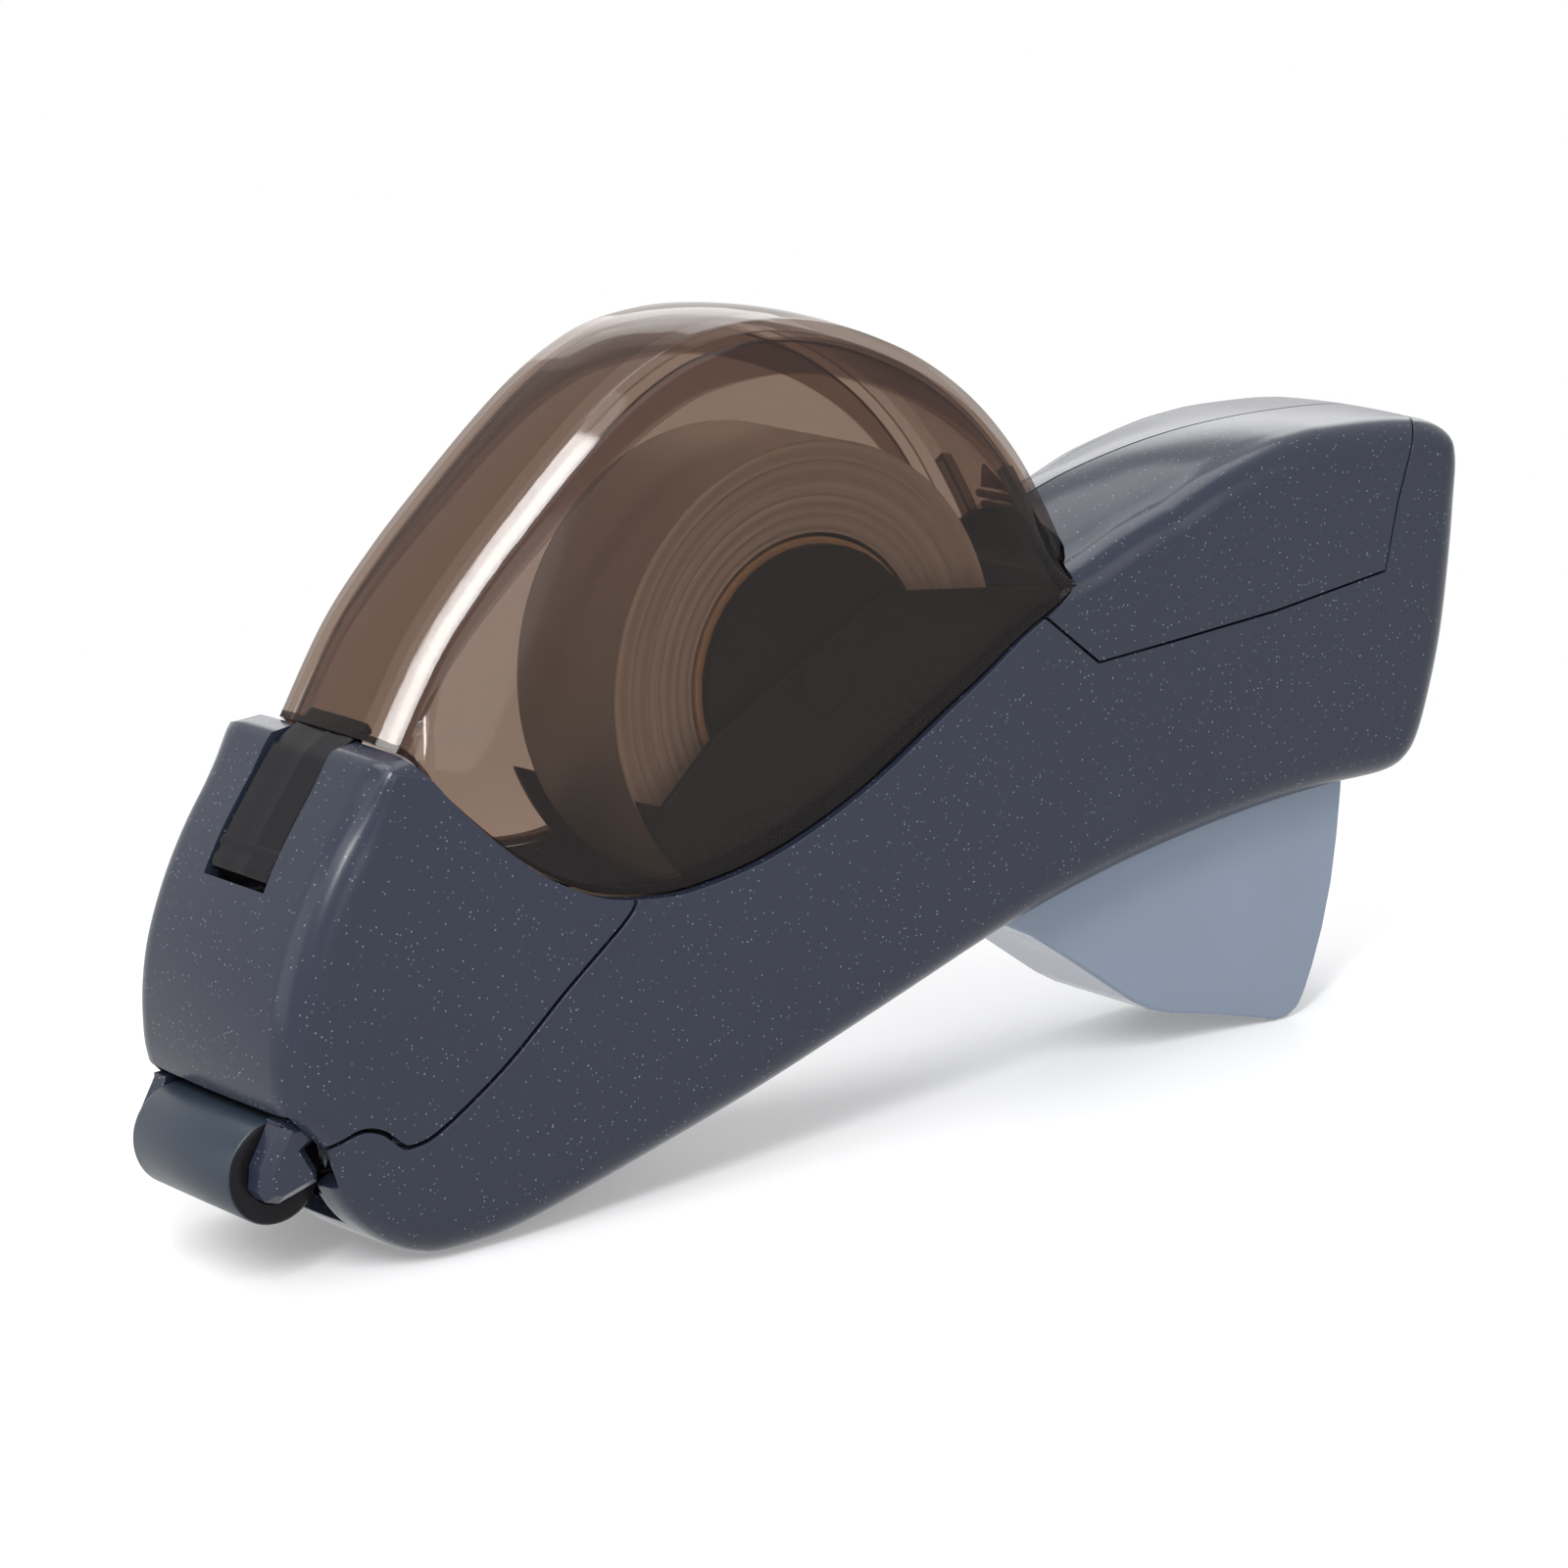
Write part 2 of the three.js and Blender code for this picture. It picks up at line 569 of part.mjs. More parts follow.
// What the cover takes out of the body: everything between its top line and its rims.
const coverTop = smooth(cover_top_shares, COVER_STEPS);
const coverRim = smooth(cover_rim_shares, COVER_STEPS);
const coverLoop = [
  ...lengthened(moved(coverTop, GAP), GAP),
  ...lengthened(moved(coverRim, -GAP), GAP).reverse(),
];
const coverSpace = prism(coverLoop, -OVERRUN, OVERRUN);
const coverTrim = prism([...moved(coverTop, GAP / 2), ...coverRim.slice().reverse()], -OVERRUN, OVERRUN);

// The nose's region, and the same grown by the gap for the body's side of the seam.
const seam = nose_seam_shares.map(place);
function noseRegion(shift) {
  const path = moved(seam, -shift);
  const first = path[0];
  const last = path[path.length - 1];
  const corners = [
    new THREE.Vector2(last.x, OVERRUN * 2), new THREE.Vector2(-OVERRUN, OVERRUN * 2),
    new THREE.Vector2(-OVERRUN, first.y - WALL), new THREE.Vector2(first.x, first.y - WALL),
  ];
  return prism([...path, ...corners], -OVERRUN, OVERRUN);
}

// A handle panel's region: its rear edge leans back towards the middle seam.
function panelRegion(sign, grow) {
  const path = moved(panel_side_shares.map(place), -grow);
  const rear = panel_rear_shift_share * FORM_LENGTH;
  const first = path[0];
  const count = path.length;
  const rearPoints = 3;
  const loopAt = (y, lean) => {
    const leanOf = (i) => (i < count - rearPoints ? 0 : lean);
    const shifted = path.map((point, i) => new THREE.Vector2(point.x + leanOf(i), point.y));
    shifted.push(new THREE.Vector2(shifted[count - 1].x, OVERRUN * 2));
    shifted.push(new THREE.Vector2(first.x, OVERRUN * 2));
    return shifted.map((point) => new THREE.Vector3(point.x, y, point.y));
  };
  const leanAt = (fromMiddle) => rear * (1 - (2 * fromMiddle) / HANDLE_WIDTH) + grow / 2;
  const reaches = [GAP / 2 - grow, HANDLE_WIDTH];
  const grid = reaches.map((fromMiddle) => loopAt(sign * fromMiddle, leanAt(fromMiddle)));
  return solid(fromGrid(grid, grid[0].map((point) => new THREE.Vector2(point.x, point.z))));
}

const halfSpace = (sign) => (sign < 0
  ? box(-OVERRUN, FORM_LENGTH + OVERRUN, -OVERRUN, -GAP / 2, -OVERRUN, FORM_HEIGHT + OVERRUN)
  : box(-OVERRUN, FORM_LENGTH + OVERRUN, GAP / 2, OVERRUN, -OVERRUN, FORM_HEIGHT + OVERRUN));

// Everything cut through the moulded wall at the front: the recess for the roller and its arms,
// and the way down for the blade.
const noseEdge = nose_edge_share * FORM_HEIGHT;
const halfBladeWay = halfTape + GAP;
const armBack = ROLLER.x + ARM_RADIUS + GAP;
const frontCut = wasm.Manifold.union([
  box(-OVERRUN, armBack, -armOut - GAP, armOut + GAP, 0, noseEdge),
  crossBar(ROLLER, ROLLER_RADIUS + ROLLER_RECESS, -frameIn, frameIn, FACETS),
  box(bladeFront - 2 * GAP, bladeBack + 2 * GAP, -halfBladeWay, halfBladeWay, -OVERRUN, noseEdge),
]);
const shell = outside.subtract(inside).subtract(coverSpace).subtract(frontCut);

// The nose with its slot for the tongue and the two lugs that hold the hinge pin.
function makeNose() {
  const slotBottom = slot_bottom_share * FORM_HEIGHT;
  const halfSlot = TONGUE_WIDTH / 2 + GAP;
  const front = lengthened(smooth(head_front_shares, HEAD_STEPS), SLOT_DEPTH);
  const slotLoop = [...moved(front, SLOT_DEPTH), ...moved(front, -SLOT_DEPTH).reverse()];
  const slot = prism(slotLoop, -halfSlot, halfSlot)
    .intersect(box(-OVERRUN, OVERRUN, -halfSlot, halfSlot, slotBottom, FORM_HEIGHT));
  const lugs = [-1, 1].map((sign) => {
    const near = sign * halfSlot;
    const far = sign * (halfSlot + HINGE_LUG_WIDTH);
    return crossBar(COVER_HINGE, HINGE_LUG_RADIUS, Math.min(near, far), Math.max(near, far), FACETS);
  });
  const pinReach = halfSlot + HINGE_LUG_WIDTH - GAP;
  const pinHole = crossBar(COVER_HINGE, HINGE_PIN_RADIUS + GAP, -pinReach, pinReach);
  const lugBlock = wasm.Manifold.union(lugs).intersect(outside);
  return shell.intersect(noseRegion(0)).subtract(slot).add(lugBlock).subtract(pinHole);
}

// One half of the body with its bosses, its half of the bulkhead and its half of the spring shelf.
const REAR_WALL_POINTS = 8;
const screwPlaces = screw_place_shares.map(place);
function makeHalf(sign) {
  const limits = (from, to) => (sign < 0 ? [-to, -from] : [from, to]);
  const [yIn, yOut] = limits(GAP / 2, OVERRUN);
  const parts = screwPlaces.map((point) => crossBar(point, BOSS_RADIUS, yIn, yOut, SMALL_FACETS));
  const [pinIn, pinOut] = limits(halfTrigger + GAP, OVERRUN);
  parts.push(crossBar(TRIGGER, TRIGGER_BOSS_RADIUS, pinIn, pinOut, FACETS));
  const shelfZ = shelf_share * FORM_HEIGHT;
  const springX = spring_axis_share * FORM_LENGTH;
  const reach = SPRING_RADIUS + SPRING_WIRE;
  parts.push(box(springX - reach, springX + reach, yIn, yOut, shelfZ, shelfZ + SHELF_THICKNESS));
  const rearTop = coverTop.slice(-REAR_WALL_POINTS);
  const rearEnd = rearTop[REAR_WALL_POINTS - 1];
  const rearFoot = new THREE.Vector2(rearEnd.x, bulkhead_foot_share * FORM_HEIGHT);
  const wallPath = [...rearTop, rearFoot];
  const bulkheadLoop = [...moved(wallPath, 2 * GAP + WALL), ...moved(wallPath, 2 * GAP).reverse()];
  parts.push(prism(bulkheadLoop, yIn, yOut));
  const panelWall = outside.subtract(form(WALL + GAP)).intersect(panelRegion(sign, GAP));
  const added = wasm.Manifold.union(parts).intersect(form(GAP)).subtract(panelWall).subtract(coverSpace);
  const slotX = grip_slot_shares.map((share) => share * FORM_LENGTH);
  const halfSlot = halfTrigger + TRIGGER_CLEARANCE;
  const gripSlot = box(slotX[0], slotX[1], -halfSlot, halfSlot, 0, TRIGGER.y + TRIGGER_BOSS_RADIUS * 2);
  const [blindIn, blindOut] = limits(0, pinLength / 2 + GAP);
  const cuts = [gripSlot, crossBar(TRIGGER, TRIGGER_PIN_RADIUS + GAP, blindIn, blindOut, FACETS)];
  for (const point of screwPlaces) {
    const wallAt = halfWidth(point.x);
    if (sign > 0) {
      cuts.push(crossBar(point, SCREW_RADIUS + GAP, 0, OVERRUN));
      cuts.push(crossBar(point, SCREW_HEAD_RADIUS + GAP, wallAt - WALL - SCREW_HEAD_HEIGHT, OVERRUN));
    } else {
      cuts.push(crossBar(point, SCREW_RADIUS + GAP, -wallAt + 2 * WALL, 0));
    }
  }
  return shell
    .subtract(noseRegion(GAP))
    .subtract(panelRegion(sign, GAP))
    .intersect(halfSpace(sign))
    .add(added.subtract(noseRegion(GAP)))
    .subtract(wasm.Manifold.union(cuts));
}

function makePanel(sign) {
  return outside.subtract(inside).subtract(coverSpace).intersect(panelRegion(sign, 0));
}

// The cover with its press tab: two slits that free a tongue of the rear wall, with thumb ribs on it.
const TAB_WALL_POINTS = 10;
function makeCover() {
  const cover = shellOf(coverGrid(0), coverGrid(COVER_WALL)).intersect(coverTrim);
  const tabTop = tab_top_share * FORM_HEIGHT;
  const halfTab = TAB_WIDTH / 2;
  const rear = ROLL.x;
  const cuts = [-1, 1].map((sign) => {
    const near = sign < 0 ? -halfTab - TAB_SLIT : halfTab;
    return box(rear, FORM_LENGTH, near, near + TAB_SLIT, tabTop - TAB_SLIT_LENGTH, tabTop);
  });
  const wallPath = coverTop.slice(-TAB_WALL_POINTS);
  const outer = moved(wallPath, TAB_RIB_HEIGHT);
  const inner = moved(wallPath, -COVER_WALL / 2);
  const ribs = [];
  const band = prism([...outer, ...inner.reverse()], -halfTab + TAB_SLIT, halfTab - TAB_SLIT);
  for (let i = 0; i < TAB_RIBS; i += 1) {
    const top = tabTop - ((i + 1) / (TAB_RIBS + 1)) * TAB_SLIT_LENGTH;
    const level = box(rear, FORM_LENGTH, -halfTab, halfTab, top - TAB_RIB_HEIGHT, top + TAB_RIB_HEIGHT);
    ribs.push(band.intersect(level));
  }
  const foot = coverTop[coverTop.length - 1];
  const handleFront = moved(coverTop, GAP)[coverTop.length - 1];
  const handleTop = handleTopAt(handleFront.x);
  const clearHandle = box(rear, FORM_LENGTH, -halfTab, halfTab, foot.y - OVERRUN, handleTop);
  const tabRibs = wasm.Manifold.union(ribs).subtract(clearHandle);
  return cover.subtract(wasm.Manifold.union(cuts)).add(tabRibs);
}

// How high the handle's top stands at a place along it.
function handleTopAt(x) {
  const top = smooth(handle_top_shares, HANDLE_STEPS);
  const next = top.findIndex((point) => point.x > x);
  const before = top[Math.max(next - 1, 0)];
  const after = top[Math.max(next, 1)];
  return THREE.MathUtils.mapLinear(x, before.x, after.x, before.y, after.y) + 2 * GAP;
}

// The hinge tongue: a plate that lies in the nose's slot, with a barrel round the pin at its foot.
function makeTongue() {
  const half = TONGUE_WIDTH / 2;
  const front = smooth(head_front_shares, HEAD_STEPS).filter((point) => point.y > COVER_HINGE.y);
  const bottomEdge = coverTop[0];
  const outer = moved(front, -TONGUE_RECESS);
  const inner = moved(front, -TONGUE_RECESS - TONGUE_THICKNESS);
  const coverFoot = bottomEdge.clone().add(new THREE.Vector2(-GAP, -GAP));
  const coverBack = coverFoot.clone().add(new THREE.Vector2(TONGUE_THICKNESS, -TONGUE_THICKNESS / 2));
  const plate = prism([...outer, coverFoot, coverBack, ...inner.reverse()], -half, half);
  const barrel = crossBar(COVER_HINGE, TONGUE_BARREL_RADIUS, -half, half, FACETS);
  const bore = crossBar(COVER_HINGE, HINGE_PIN_RADIUS + GAP, -half - GAP, half + GAP);
  return plate.add(barrel).subtract(bore);
}

// A cheek of the roll bay, with an open slot for the hub's axle and pads that reach the body's wall.
function makeCheek(sign) {
  const byRoll = (share) => placeAbout(ROLL, ROLL_RADIUS, share);
  const edge = cheek_edge_shares.map(byRoll);
  const radius = ROLL_RADIUS + ROLL_CLEARANCE - GAP;
  const [from, to] = cheek_turn_shares.map((share) => share * 2 * Math.PI);
  const under = arc(ROLL, radius, from, to, CHEEK_STEPS);
  const [near, far] = sign < 0 ? [-cheekOut, -cheekIn] : [cheekIn, cheekOut];
  const plate = prism([...edge, ...under], near, far);
  const slope = edge[1].clone().sub(edge[2]).normalize();
  const across = new THREE.Vector2(-slope.y, slope.x);
  const slotHalf = HUB_AXLE_RADIUS + GAP;
  const slotLoop = [
    ROLL.clone().addScaledVector(slope, slotHalf),
    ROLL.clone().addScaledVector(slope, slotHalf).addScaledVector(across, OVERRUN),
    ROLL.clone().addScaledVector(slope, -slotHalf).addScaledVector(across, OVERRUN),
    ROLL.clone().addScaledVector(slope, -slotHalf),
  ];
  const slotEnd = crossBar(ROLL, slotHalf, near - GAP, far + GAP, FACETS);
  const slot = prism(slotLoop, near - GAP, far + GAP).add(slotEnd);
  const pads = standoff_place_shares.map((share) => {
    const point = byRoll(share);
    const reach = sign < 0 ? [-HEAD_WIDTH, -cheekIn] : [cheekIn, HEAD_WIDTH];
    return crossBar(point, STANDOFF_RADIUS, ...reach);
  });
  const room = form(WALL + 2 * GAP).add(coverSpace);
  return plate.add(wasm.Manifold.union(pads)).intersect(room).subtract(slot);
}

function makeFloor() {
  const radius = ROLL_RADIUS + ROLL_CLEARANCE;
  const [from, to] = floor_turn_shares.map((share) => share * 2 * Math.PI);
  const inner = arc(ROLL, radius, from, to, FLOOR_STEPS);
  const outer = arc(ROLL, radius + FLOOR_THICKNESS, to, from, FLOOR_STEPS);
  return prism([...inner, ...outer], -cheekIn + GAP, cheekIn - GAP);
}

function makeHub() {
  const rim = CORE_BORE_RADIUS - GAP;
  const bore = HUB_AXLE_RADIUS + GAP;
  const parts = [
    ring(ROLL, bore, HUB_FLANGE_RADIUS, -flangeOut, -flangeIn, FINE_FACETS),
    ring(ROLL, rim - HUB_WALL, rim, -flangeOut + HUB_FLANGE / 2, halfTape, FINE_FACETS),
    ring(ROLL, bore, HUB_SLEEVE_RADIUS, -flangeOut + HUB_FLANGE / 2, halfTape),
  ];
  for (let i = 0; i < HUB_SPOKES; i += 1) {
    const spoke = new THREE.BoxGeometry(rim - bore - HUB_WALL, TAPE_WIDTH, HUB_SPOKE_WIDTH);
    spoke.translate((rim + bore) / 2, 0, 0);
    spoke.rotateY((i / HUB_SPOKES) * 2 * Math.PI);
    spoke.translate(ROLL.x, 0, ROLL.y);
    parts.push(solid(spoke));
  }
  return wasm.Manifold.union(parts);
}

function makeHubCap() {
  return ring(ROLL, HUB_AXLE_RADIUS + GAP, HUB_FLANGE_RADIUS, flangeIn, flangeOut, FINE_FACETS);
}

// The tape's free run: off the bottom of the roll, forward over the guide roller and down the nose.
function makeLeader() {
  const half = LEADER_THICKNESS / 2;
  const rollReach = ROLL_RADIUS + GAP + half;
  const guideReach = GUIDE_RADIUS + GAP + half;
  const span = GUIDE.clone().sub(ROLL);
  const lean = Math.asin((rollReach + guideReach) / span.length());
  const line = span.angle() - lean;
  const offRoll = around(ROLL, rollReach, line + Math.PI / 2);
  const onGuideTurn = Math.atan2(-Math.cos(line), Math.sin(line));
  const end = place(leader_end_share);
  const toEnd = end.clone().sub(GUIDE);
  const offGuideTurn = toEnd.angle() - Math.acos(guideReach / toEnd.length());
  const path = [offRoll, ...arc(GUIDE, guideReach, onGuideTurn, offGuideTurn, LEADER_STEPS), end];
  const loop = [...moved(path, half), ...moved(path, -half).reverse()];
  return prism(loop, -halfTape, halfTape);
}

// A side of the front frame: a plate inside the nose and a thicker arm below it for the roller.
function makeFrame(sign) {
  const limits = (from, to) => (sign < 0 ? [-to, -from] : [from, to]);
  const plate = prism(frame_plate_shares.map(place), ...limits(frameIn, frameOut));
  const byRoller = (share) => placeAbout(ROLLER, ARM_RADIUS, share);
  const front = arm_front_shares.map(byRoller);
  const rear = arm_rear_shares.map(byRoller);
  const top = noseEdge - GAP;
  const armTop = [new THREE.Vector2(armBack - GAP, top), new THREE.Vector2(front[0].x, top)];
  const arm = prism([...front, ...rear, ...armTop], ...limits(frameIn, armOut));
  const deep = ARM_THICKNESS - WALL / 2;
  const axleHole = crossBar(ROLLER, ROLLER_AXLE_RADIUS + GAP, ...limits(frameIn - GAP, frameIn + deep));
  const guideHole = crossBar(GUIDE, GUIDE_AXLE_RADIUS + GAP, ...limits(frameIn - GAP, frameOut + GAP));
  return plate.add(arm).subtract(axleHole).subtract(guideHole);
}

function makePressRoller() {
  const half = ROLLER_LENGTH / 2;
  const bore = ROLLER_AXLE_RADIUS + GAP;
  const dish = ROLLER_RADIUS - WALL;
  return turned(ROLLER, [
    [bore, -half + GAP], [dish, -half + GAP], [dish + GAP, -half], [ROLLER_RADIUS - GAP, -half],
    [ROLLER_RADIUS, -half + GAP], [ROLLER_RADIUS, half - GAP], [ROLLER_RADIUS - GAP, half],
    [dish + GAP, half], [dish, half - GAP], [bore, half - GAP],
  ]);
}

function makeGuideRoller() {
  const half = ROLLER_LENGTH / 2 - GAP;
  const bore = GUIDE_AXLE_RADIUS + GAP;
  const low = GUIDE_RADIUS - GUIDE_GROOVE_DEPTH;
  const loop = [[bore, -half], [GUIDE_RADIUS, -half]];
  const pitch = (2 * half) / (2 * GUIDE_GROOVES + 1);
  for (let i = 0; i < GUIDE_GROOVES; i += 1) {
    const from = -half + (2 * i + 1) * pitch;
    loop.push([GUIDE_RADIUS, from], [low, from], [low, from + pitch], [GUIDE_RADIUS, from + pitch]);
  }
  loop.push([GUIDE_RADIUS, half], [bore, half]);
  return turned(GUIDE, loop, SMALL_FACETS);
}

// The carriage slides between the two frame plates. The lever's tip rides in the mouth at its back.
const carriageBack = LEVER_TIP.x + CARRIAGE_LENGTH / 2;
const carriageTop = LEVER_TIP.y + CARRIAGE_HEIGHT / 2;
const carriageHalf = frameIn - 2 * GAP;
const rivetZ = carriageTop - RIVET_HEAD_RADIUS - GAP;
const rivetY = [-rivet_place_share * carriageHalf, rivet_place_share * carriageHalf];

function alongX(radius, fromX, toX, y, z, facets = SMALL_FACETS) {
  const geometry = new THREE.CylinderGeometry(radius, radius, toX - fromX, facets);
  geometry.rotateZ(Math.PI / 2);
  geometry.translate((fromX + toX) / 2, y, z);
  return solid(geometry);
}

function makeCarriage() {
  const bottom = carriageTop - CARRIAGE_HEIGHT;
  const block = box(carriageFront, carriageBack, -carriageHalf, carriageHalf, bottom, carriageTop);
  const mouth = LEVER_THICKNESS / 2 + 2 * GAP;
  const reach = LEVER_TIP.x - LEVER_THICKNESS / 2 - 2 * GAP;
  const cut = box(reach, OVERRUN, -OVERRUN, OVERRUN, LEVER_TIP.y - mouth, LEVER_TIP.y + mouth);
  const holeEnd = carriageFront + 4 * RIVET_RADIUS;
  const holes = rivetY.map((y) => alongX(RIVET_RADIUS + GAP, carriageFront - GAP, holeEnd, y, rivetZ));
  return block.subtract(cut).subtract(wasm.Manifold.union(holes));
}

function makeBlade() {
  const top = carriageTop;
  const bottom = top - BLADE_HEIGHT;
  const half = halfTape - GAP;
  const pitch = (2 * half) / BLADE_TEETH;
  const outline = [new THREE.Vector2(-half, top), new THREE.Vector2(-half, bottom + TOOTH_DEPTH)];
  for (let i = 0; i < BLADE_TEETH; i += 1) {
    outline.push(new THREE.Vector2(-half + (i + 0.5) * pitch, bottom));
    outline.push(new THREE.Vector2(-half + (i + 1) * pitch, bottom + TOOTH_DEPTH));
  }
  outline.push(new THREE.Vector2(half, top));
  const settings = { depth: BLADE_THICKNESS, bevelEnabled: false };
  const geometry = new THREE.ExtrudeGeometry(new THREE.Shape(outline), settings);
  geometry.rotateX(Math.PI / 2);
  geometry.rotateZ(Math.PI / 2);
  geometry.translate(bladeFront, 0, 0);
  const holes = rivetY.map((y) => alongX(RIVET_RADIUS + GAP, bladeFront - GAP, bladeBack + GAP, y, rivetZ));
  return solid(geometry).subtract(wasm.Manifold.union(holes));
}

function makeRivet(y) {
  const seat = bladeFront - GAP;
  const head = alongX(RIVET_HEAD_RADIUS, seat - RIVET_HEAD, seat, y, rivetZ);
  return head.add(alongX(RIVET_RADIUS, seat - RIVET_HEAD / 2, carriageFront + 3 * RIVET_RADIUS, y, rivetZ));
}

// The trigger: a hollow grip, the boss round its pin and the long arm that reaches the carriage.
const springX = spring_axis_share * FORM_LENGTH;
const springFoot = spring_foot_share * FORM_HEIGHT;
const pinLength = 2 * (halfWidth(TRIGGER.x) - WALL);
function makeTrigger() {
  const overPin = new THREE.Vector2(TRIGGER.x, TRIGGER.y + TRIGGER_BOSS_RADIUS);
  const outline = [...grip_shares.map(place), overPin];
  const grip = prism(outline, -halfTrigger, halfTrigger);
  const inner = moved(outline, TRIGGER_WALL, true);
  const pocketFrom = TRIGGER.x + TRIGGER_BOSS_RADIUS * 2;
  const pocketTo = Math.max(...outline.map((point) => point.x)) - TRIGGER_WALL;
  const halfPocket = halfTrigger - TRIGGER_WALL;
  const lid = box(pocketFrom, pocketTo, -halfPocket, halfPocket, TRIGGER.y, OVERRUN);
  const hollow = prism(inner, -halfPocket, halfPocket);
  const boss = crossBar(TRIGGER, TRIGGER_BOSS_RADIUS, -halfTrigger, halfTrigger, FACETS);
  const seat = new THREE.Vector2(springX, 0);
  const post = (radius, top) => {
    const geometry = new THREE.CylinderGeometry(radius, radius, top, SMALL_FACETS);
    geometry.rotateX(Math.PI / 2);
    geometry.translate(seat.x, 0, top / 2);
    return solid(geometry);
  };
  const seatPost = post(SPRING_RADIUS + SPRING_WIRE, springFoot - GAP)
    .add(post(SPRING_POST_RADIUS, springFoot + SPRING_POST_HEIGHT))
    .intersect(grip);
  const underRoll = leverTop - LEVER_THICKNESS / 2;
  const bends = [rollX, lever_bend_share * FORM_LENGTH].map((x) => new THREE.Vector2(x, underRoll));
  const leverPath = [TRIGGER, ...bends, ...lever_shares.map(place), LEVER_TIP];
  const lever = prism(barOutline(leverPath, LEVER_THICKNESS), -LEVER_WIDTH / 2, LEVER_WIDTH / 2);
  const bore = crossBar(TRIGGER, TRIGGER_PIN_RADIUS + GAP, -OVERRUN, OVERRUN, FACETS);
  return grip.subtract(hollow.intersect(box(pocketFrom, pocketTo, -OVERRUN, OVERRUN, -GAP, OVERRUN)))
    .subtract(lid).add(seatPost).add(boss).add(lever).subtract(bore);
}

// The return spring: one wire wound round a straight axis from the trigger's post to the shelf.
function makeSpring() {
  const top = shelf_share * FORM_HEIGHT - GAP - SPRING_WIRE / 2;
  const bottom = springFoot + SPRING_WIRE / 2;
  const path = [];
  const steps = SPRING_TURNS * SPRING_STEPS_PER_TURN;
  const wound = SPRING_RADIUS - SPRING_WIRE / 2;
  for (let i = 0; i <= steps; i += 1) {
    const turn = (i / SPRING_STEPS_PER_TURN) * 2 * Math.PI;
    const rise = THREE.MathUtils.lerp(bottom, top, i / steps);
    path.push(new THREE.Vector3(springX + wound * Math.cos(turn), wound * Math.sin(turn), rise));
  }
  const section = new THREE.Shape(circle(new THREE.Vector2(), SPRING_WIRE / 2, WIRE_FACETS));
  const curve = new THREE.CatmullRomCurve3(path);
  const geometry = new THREE.ExtrudeGeometry(section, { extrudePath: curve, steps, bevelEnabled: false });
  return solid(geometry);
}

function makeScrew(point) {
  const wallAt = halfWidth(point.x);
  const seat = wallAt - WALL - SCREW_HEAD_HEIGHT + GAP;
  const tip = -wallAt + 2 * WALL + 2 * GAP;
  const head = crossBar(point, SCREW_HEAD_RADIUS, seat, seat + SCREW_HEAD_HEIGHT);
  return head.add(crossBar(point, SCREW_RADIUS, tip, seat + SCREW_HEAD_HEIGHT / 2, SCREW_FACETS));
}

// Finishes by slot: colour, roughness and metalness.
function finish(color, roughness, metalness = 0) {
  return new THREE.MeshStandardMaterial({ color, roughness, metalness });
}
const finishes = {
  body: finish(0x41464f, 0.35),
  smoke: finish(0x5b4a3c, 0.08),
  dark: finish(0x232427, 0.4),
  trigger: finish(0x8795a6, 0.45),
  roller: finish(0x46505c, 0.55),
  tape: finish(0xb79a78, 0.3),
  card: finish(0xb08d62, 0.8),
  steel: finish(0xb4b8bd, 0.3, 1),
  white: finish(0xd8d8d4, 0.5),
};

const dispenser = new THREE.Group();
const lastX = Math.max(...bodyOutline.map(({ point }) => point.x));
dispenser.position.x = -(ROLLER.x - ROLLER_RADIUS + lastX) / 2;

function add(name, shape, slot) {
  const mesh = shape.getMesh();
  const geometry = new THREE.BufferGeometry();
  geometry.setAttribute('position', new THREE.Float32BufferAttribute(mesh.vertProperties, 3));
  geometry.setIndex(new THREE.Uint32BufferAttribute(mesh.triVerts, 1));
  geometry.computeVertexNormals();
  const piece = new THREE.Mesh(geometry, finishes[slot]);
  piece.name = name;
  dispenser.add(piece);
}

add('nose_cover', makeNose(), 'body');
for (const [sign, side] of [[-1, 'left'], [1, 'right']]) {
  add(`body_${side}`, makeHalf(sign), 'body');
  add(`handle_panel_${side}`, makePanel(sign), 'body');
  add(`roll_cheek_${side}`, makeCheek(sign), 'dark');
  add(`front_frame_${side}`, makeFrame(sign), 'body');
}
add('bay_floor', makeFloor(), 'dark');
add('tape_cover', makeCover(), 'smoke');
add('hinge_tongue', makeTongue(), 'dark');
const hingePinHalf = TONGUE_WIDTH / 2 + HINGE_LUG_WIDTH - GAP;
add('cover_hinge_pin', crossBar(COVER_HINGE, HINGE_PIN_RADIUS, -hingePinHalf, hingePinHalf), 'steel');
add('tape_hub', makeHub(), 'dark');
add('hub_cap', makeHubCap(), 'dark');
add('hub_axle', crossBar(ROLL, HUB_AXLE_RADIUS, -cheekOut, cheekOut, FACETS), 'steel');
const coreOuter = CORE_OUTER_RADIUS - GAP;
add('tape_core', ring(ROLL, CORE_BORE_RADIUS, coreOuter, -halfTape, halfTape, FINE_FACETS), 'card');
add('tape_roll', ring(ROLL, CORE_OUTER_RADIUS, ROLL_RADIUS, -halfTape, halfTape, FINE_FACETS), 'tape');
add('tape_leader', makeLeader(), 'tape');
add('guide_roller', makeGuideRoller(), 'white');
add('guide_roller_axle', crossBar(GUIDE, GUIDE_AXLE_RADIUS, -frameOut, frameOut), 'steel');
add('press_roller', makePressRoller(), 'roller');
const rollerAxleHalf = frameIn + ARM_THICKNESS - WALL / 2 - GAP;
add('press_roller_axle', crossBar(ROLLER, ROLLER_AXLE_RADIUS, -rollerAxleHalf, rollerAxleHalf), 'steel');
add('blade_carriage', makeCarriage(), 'white');
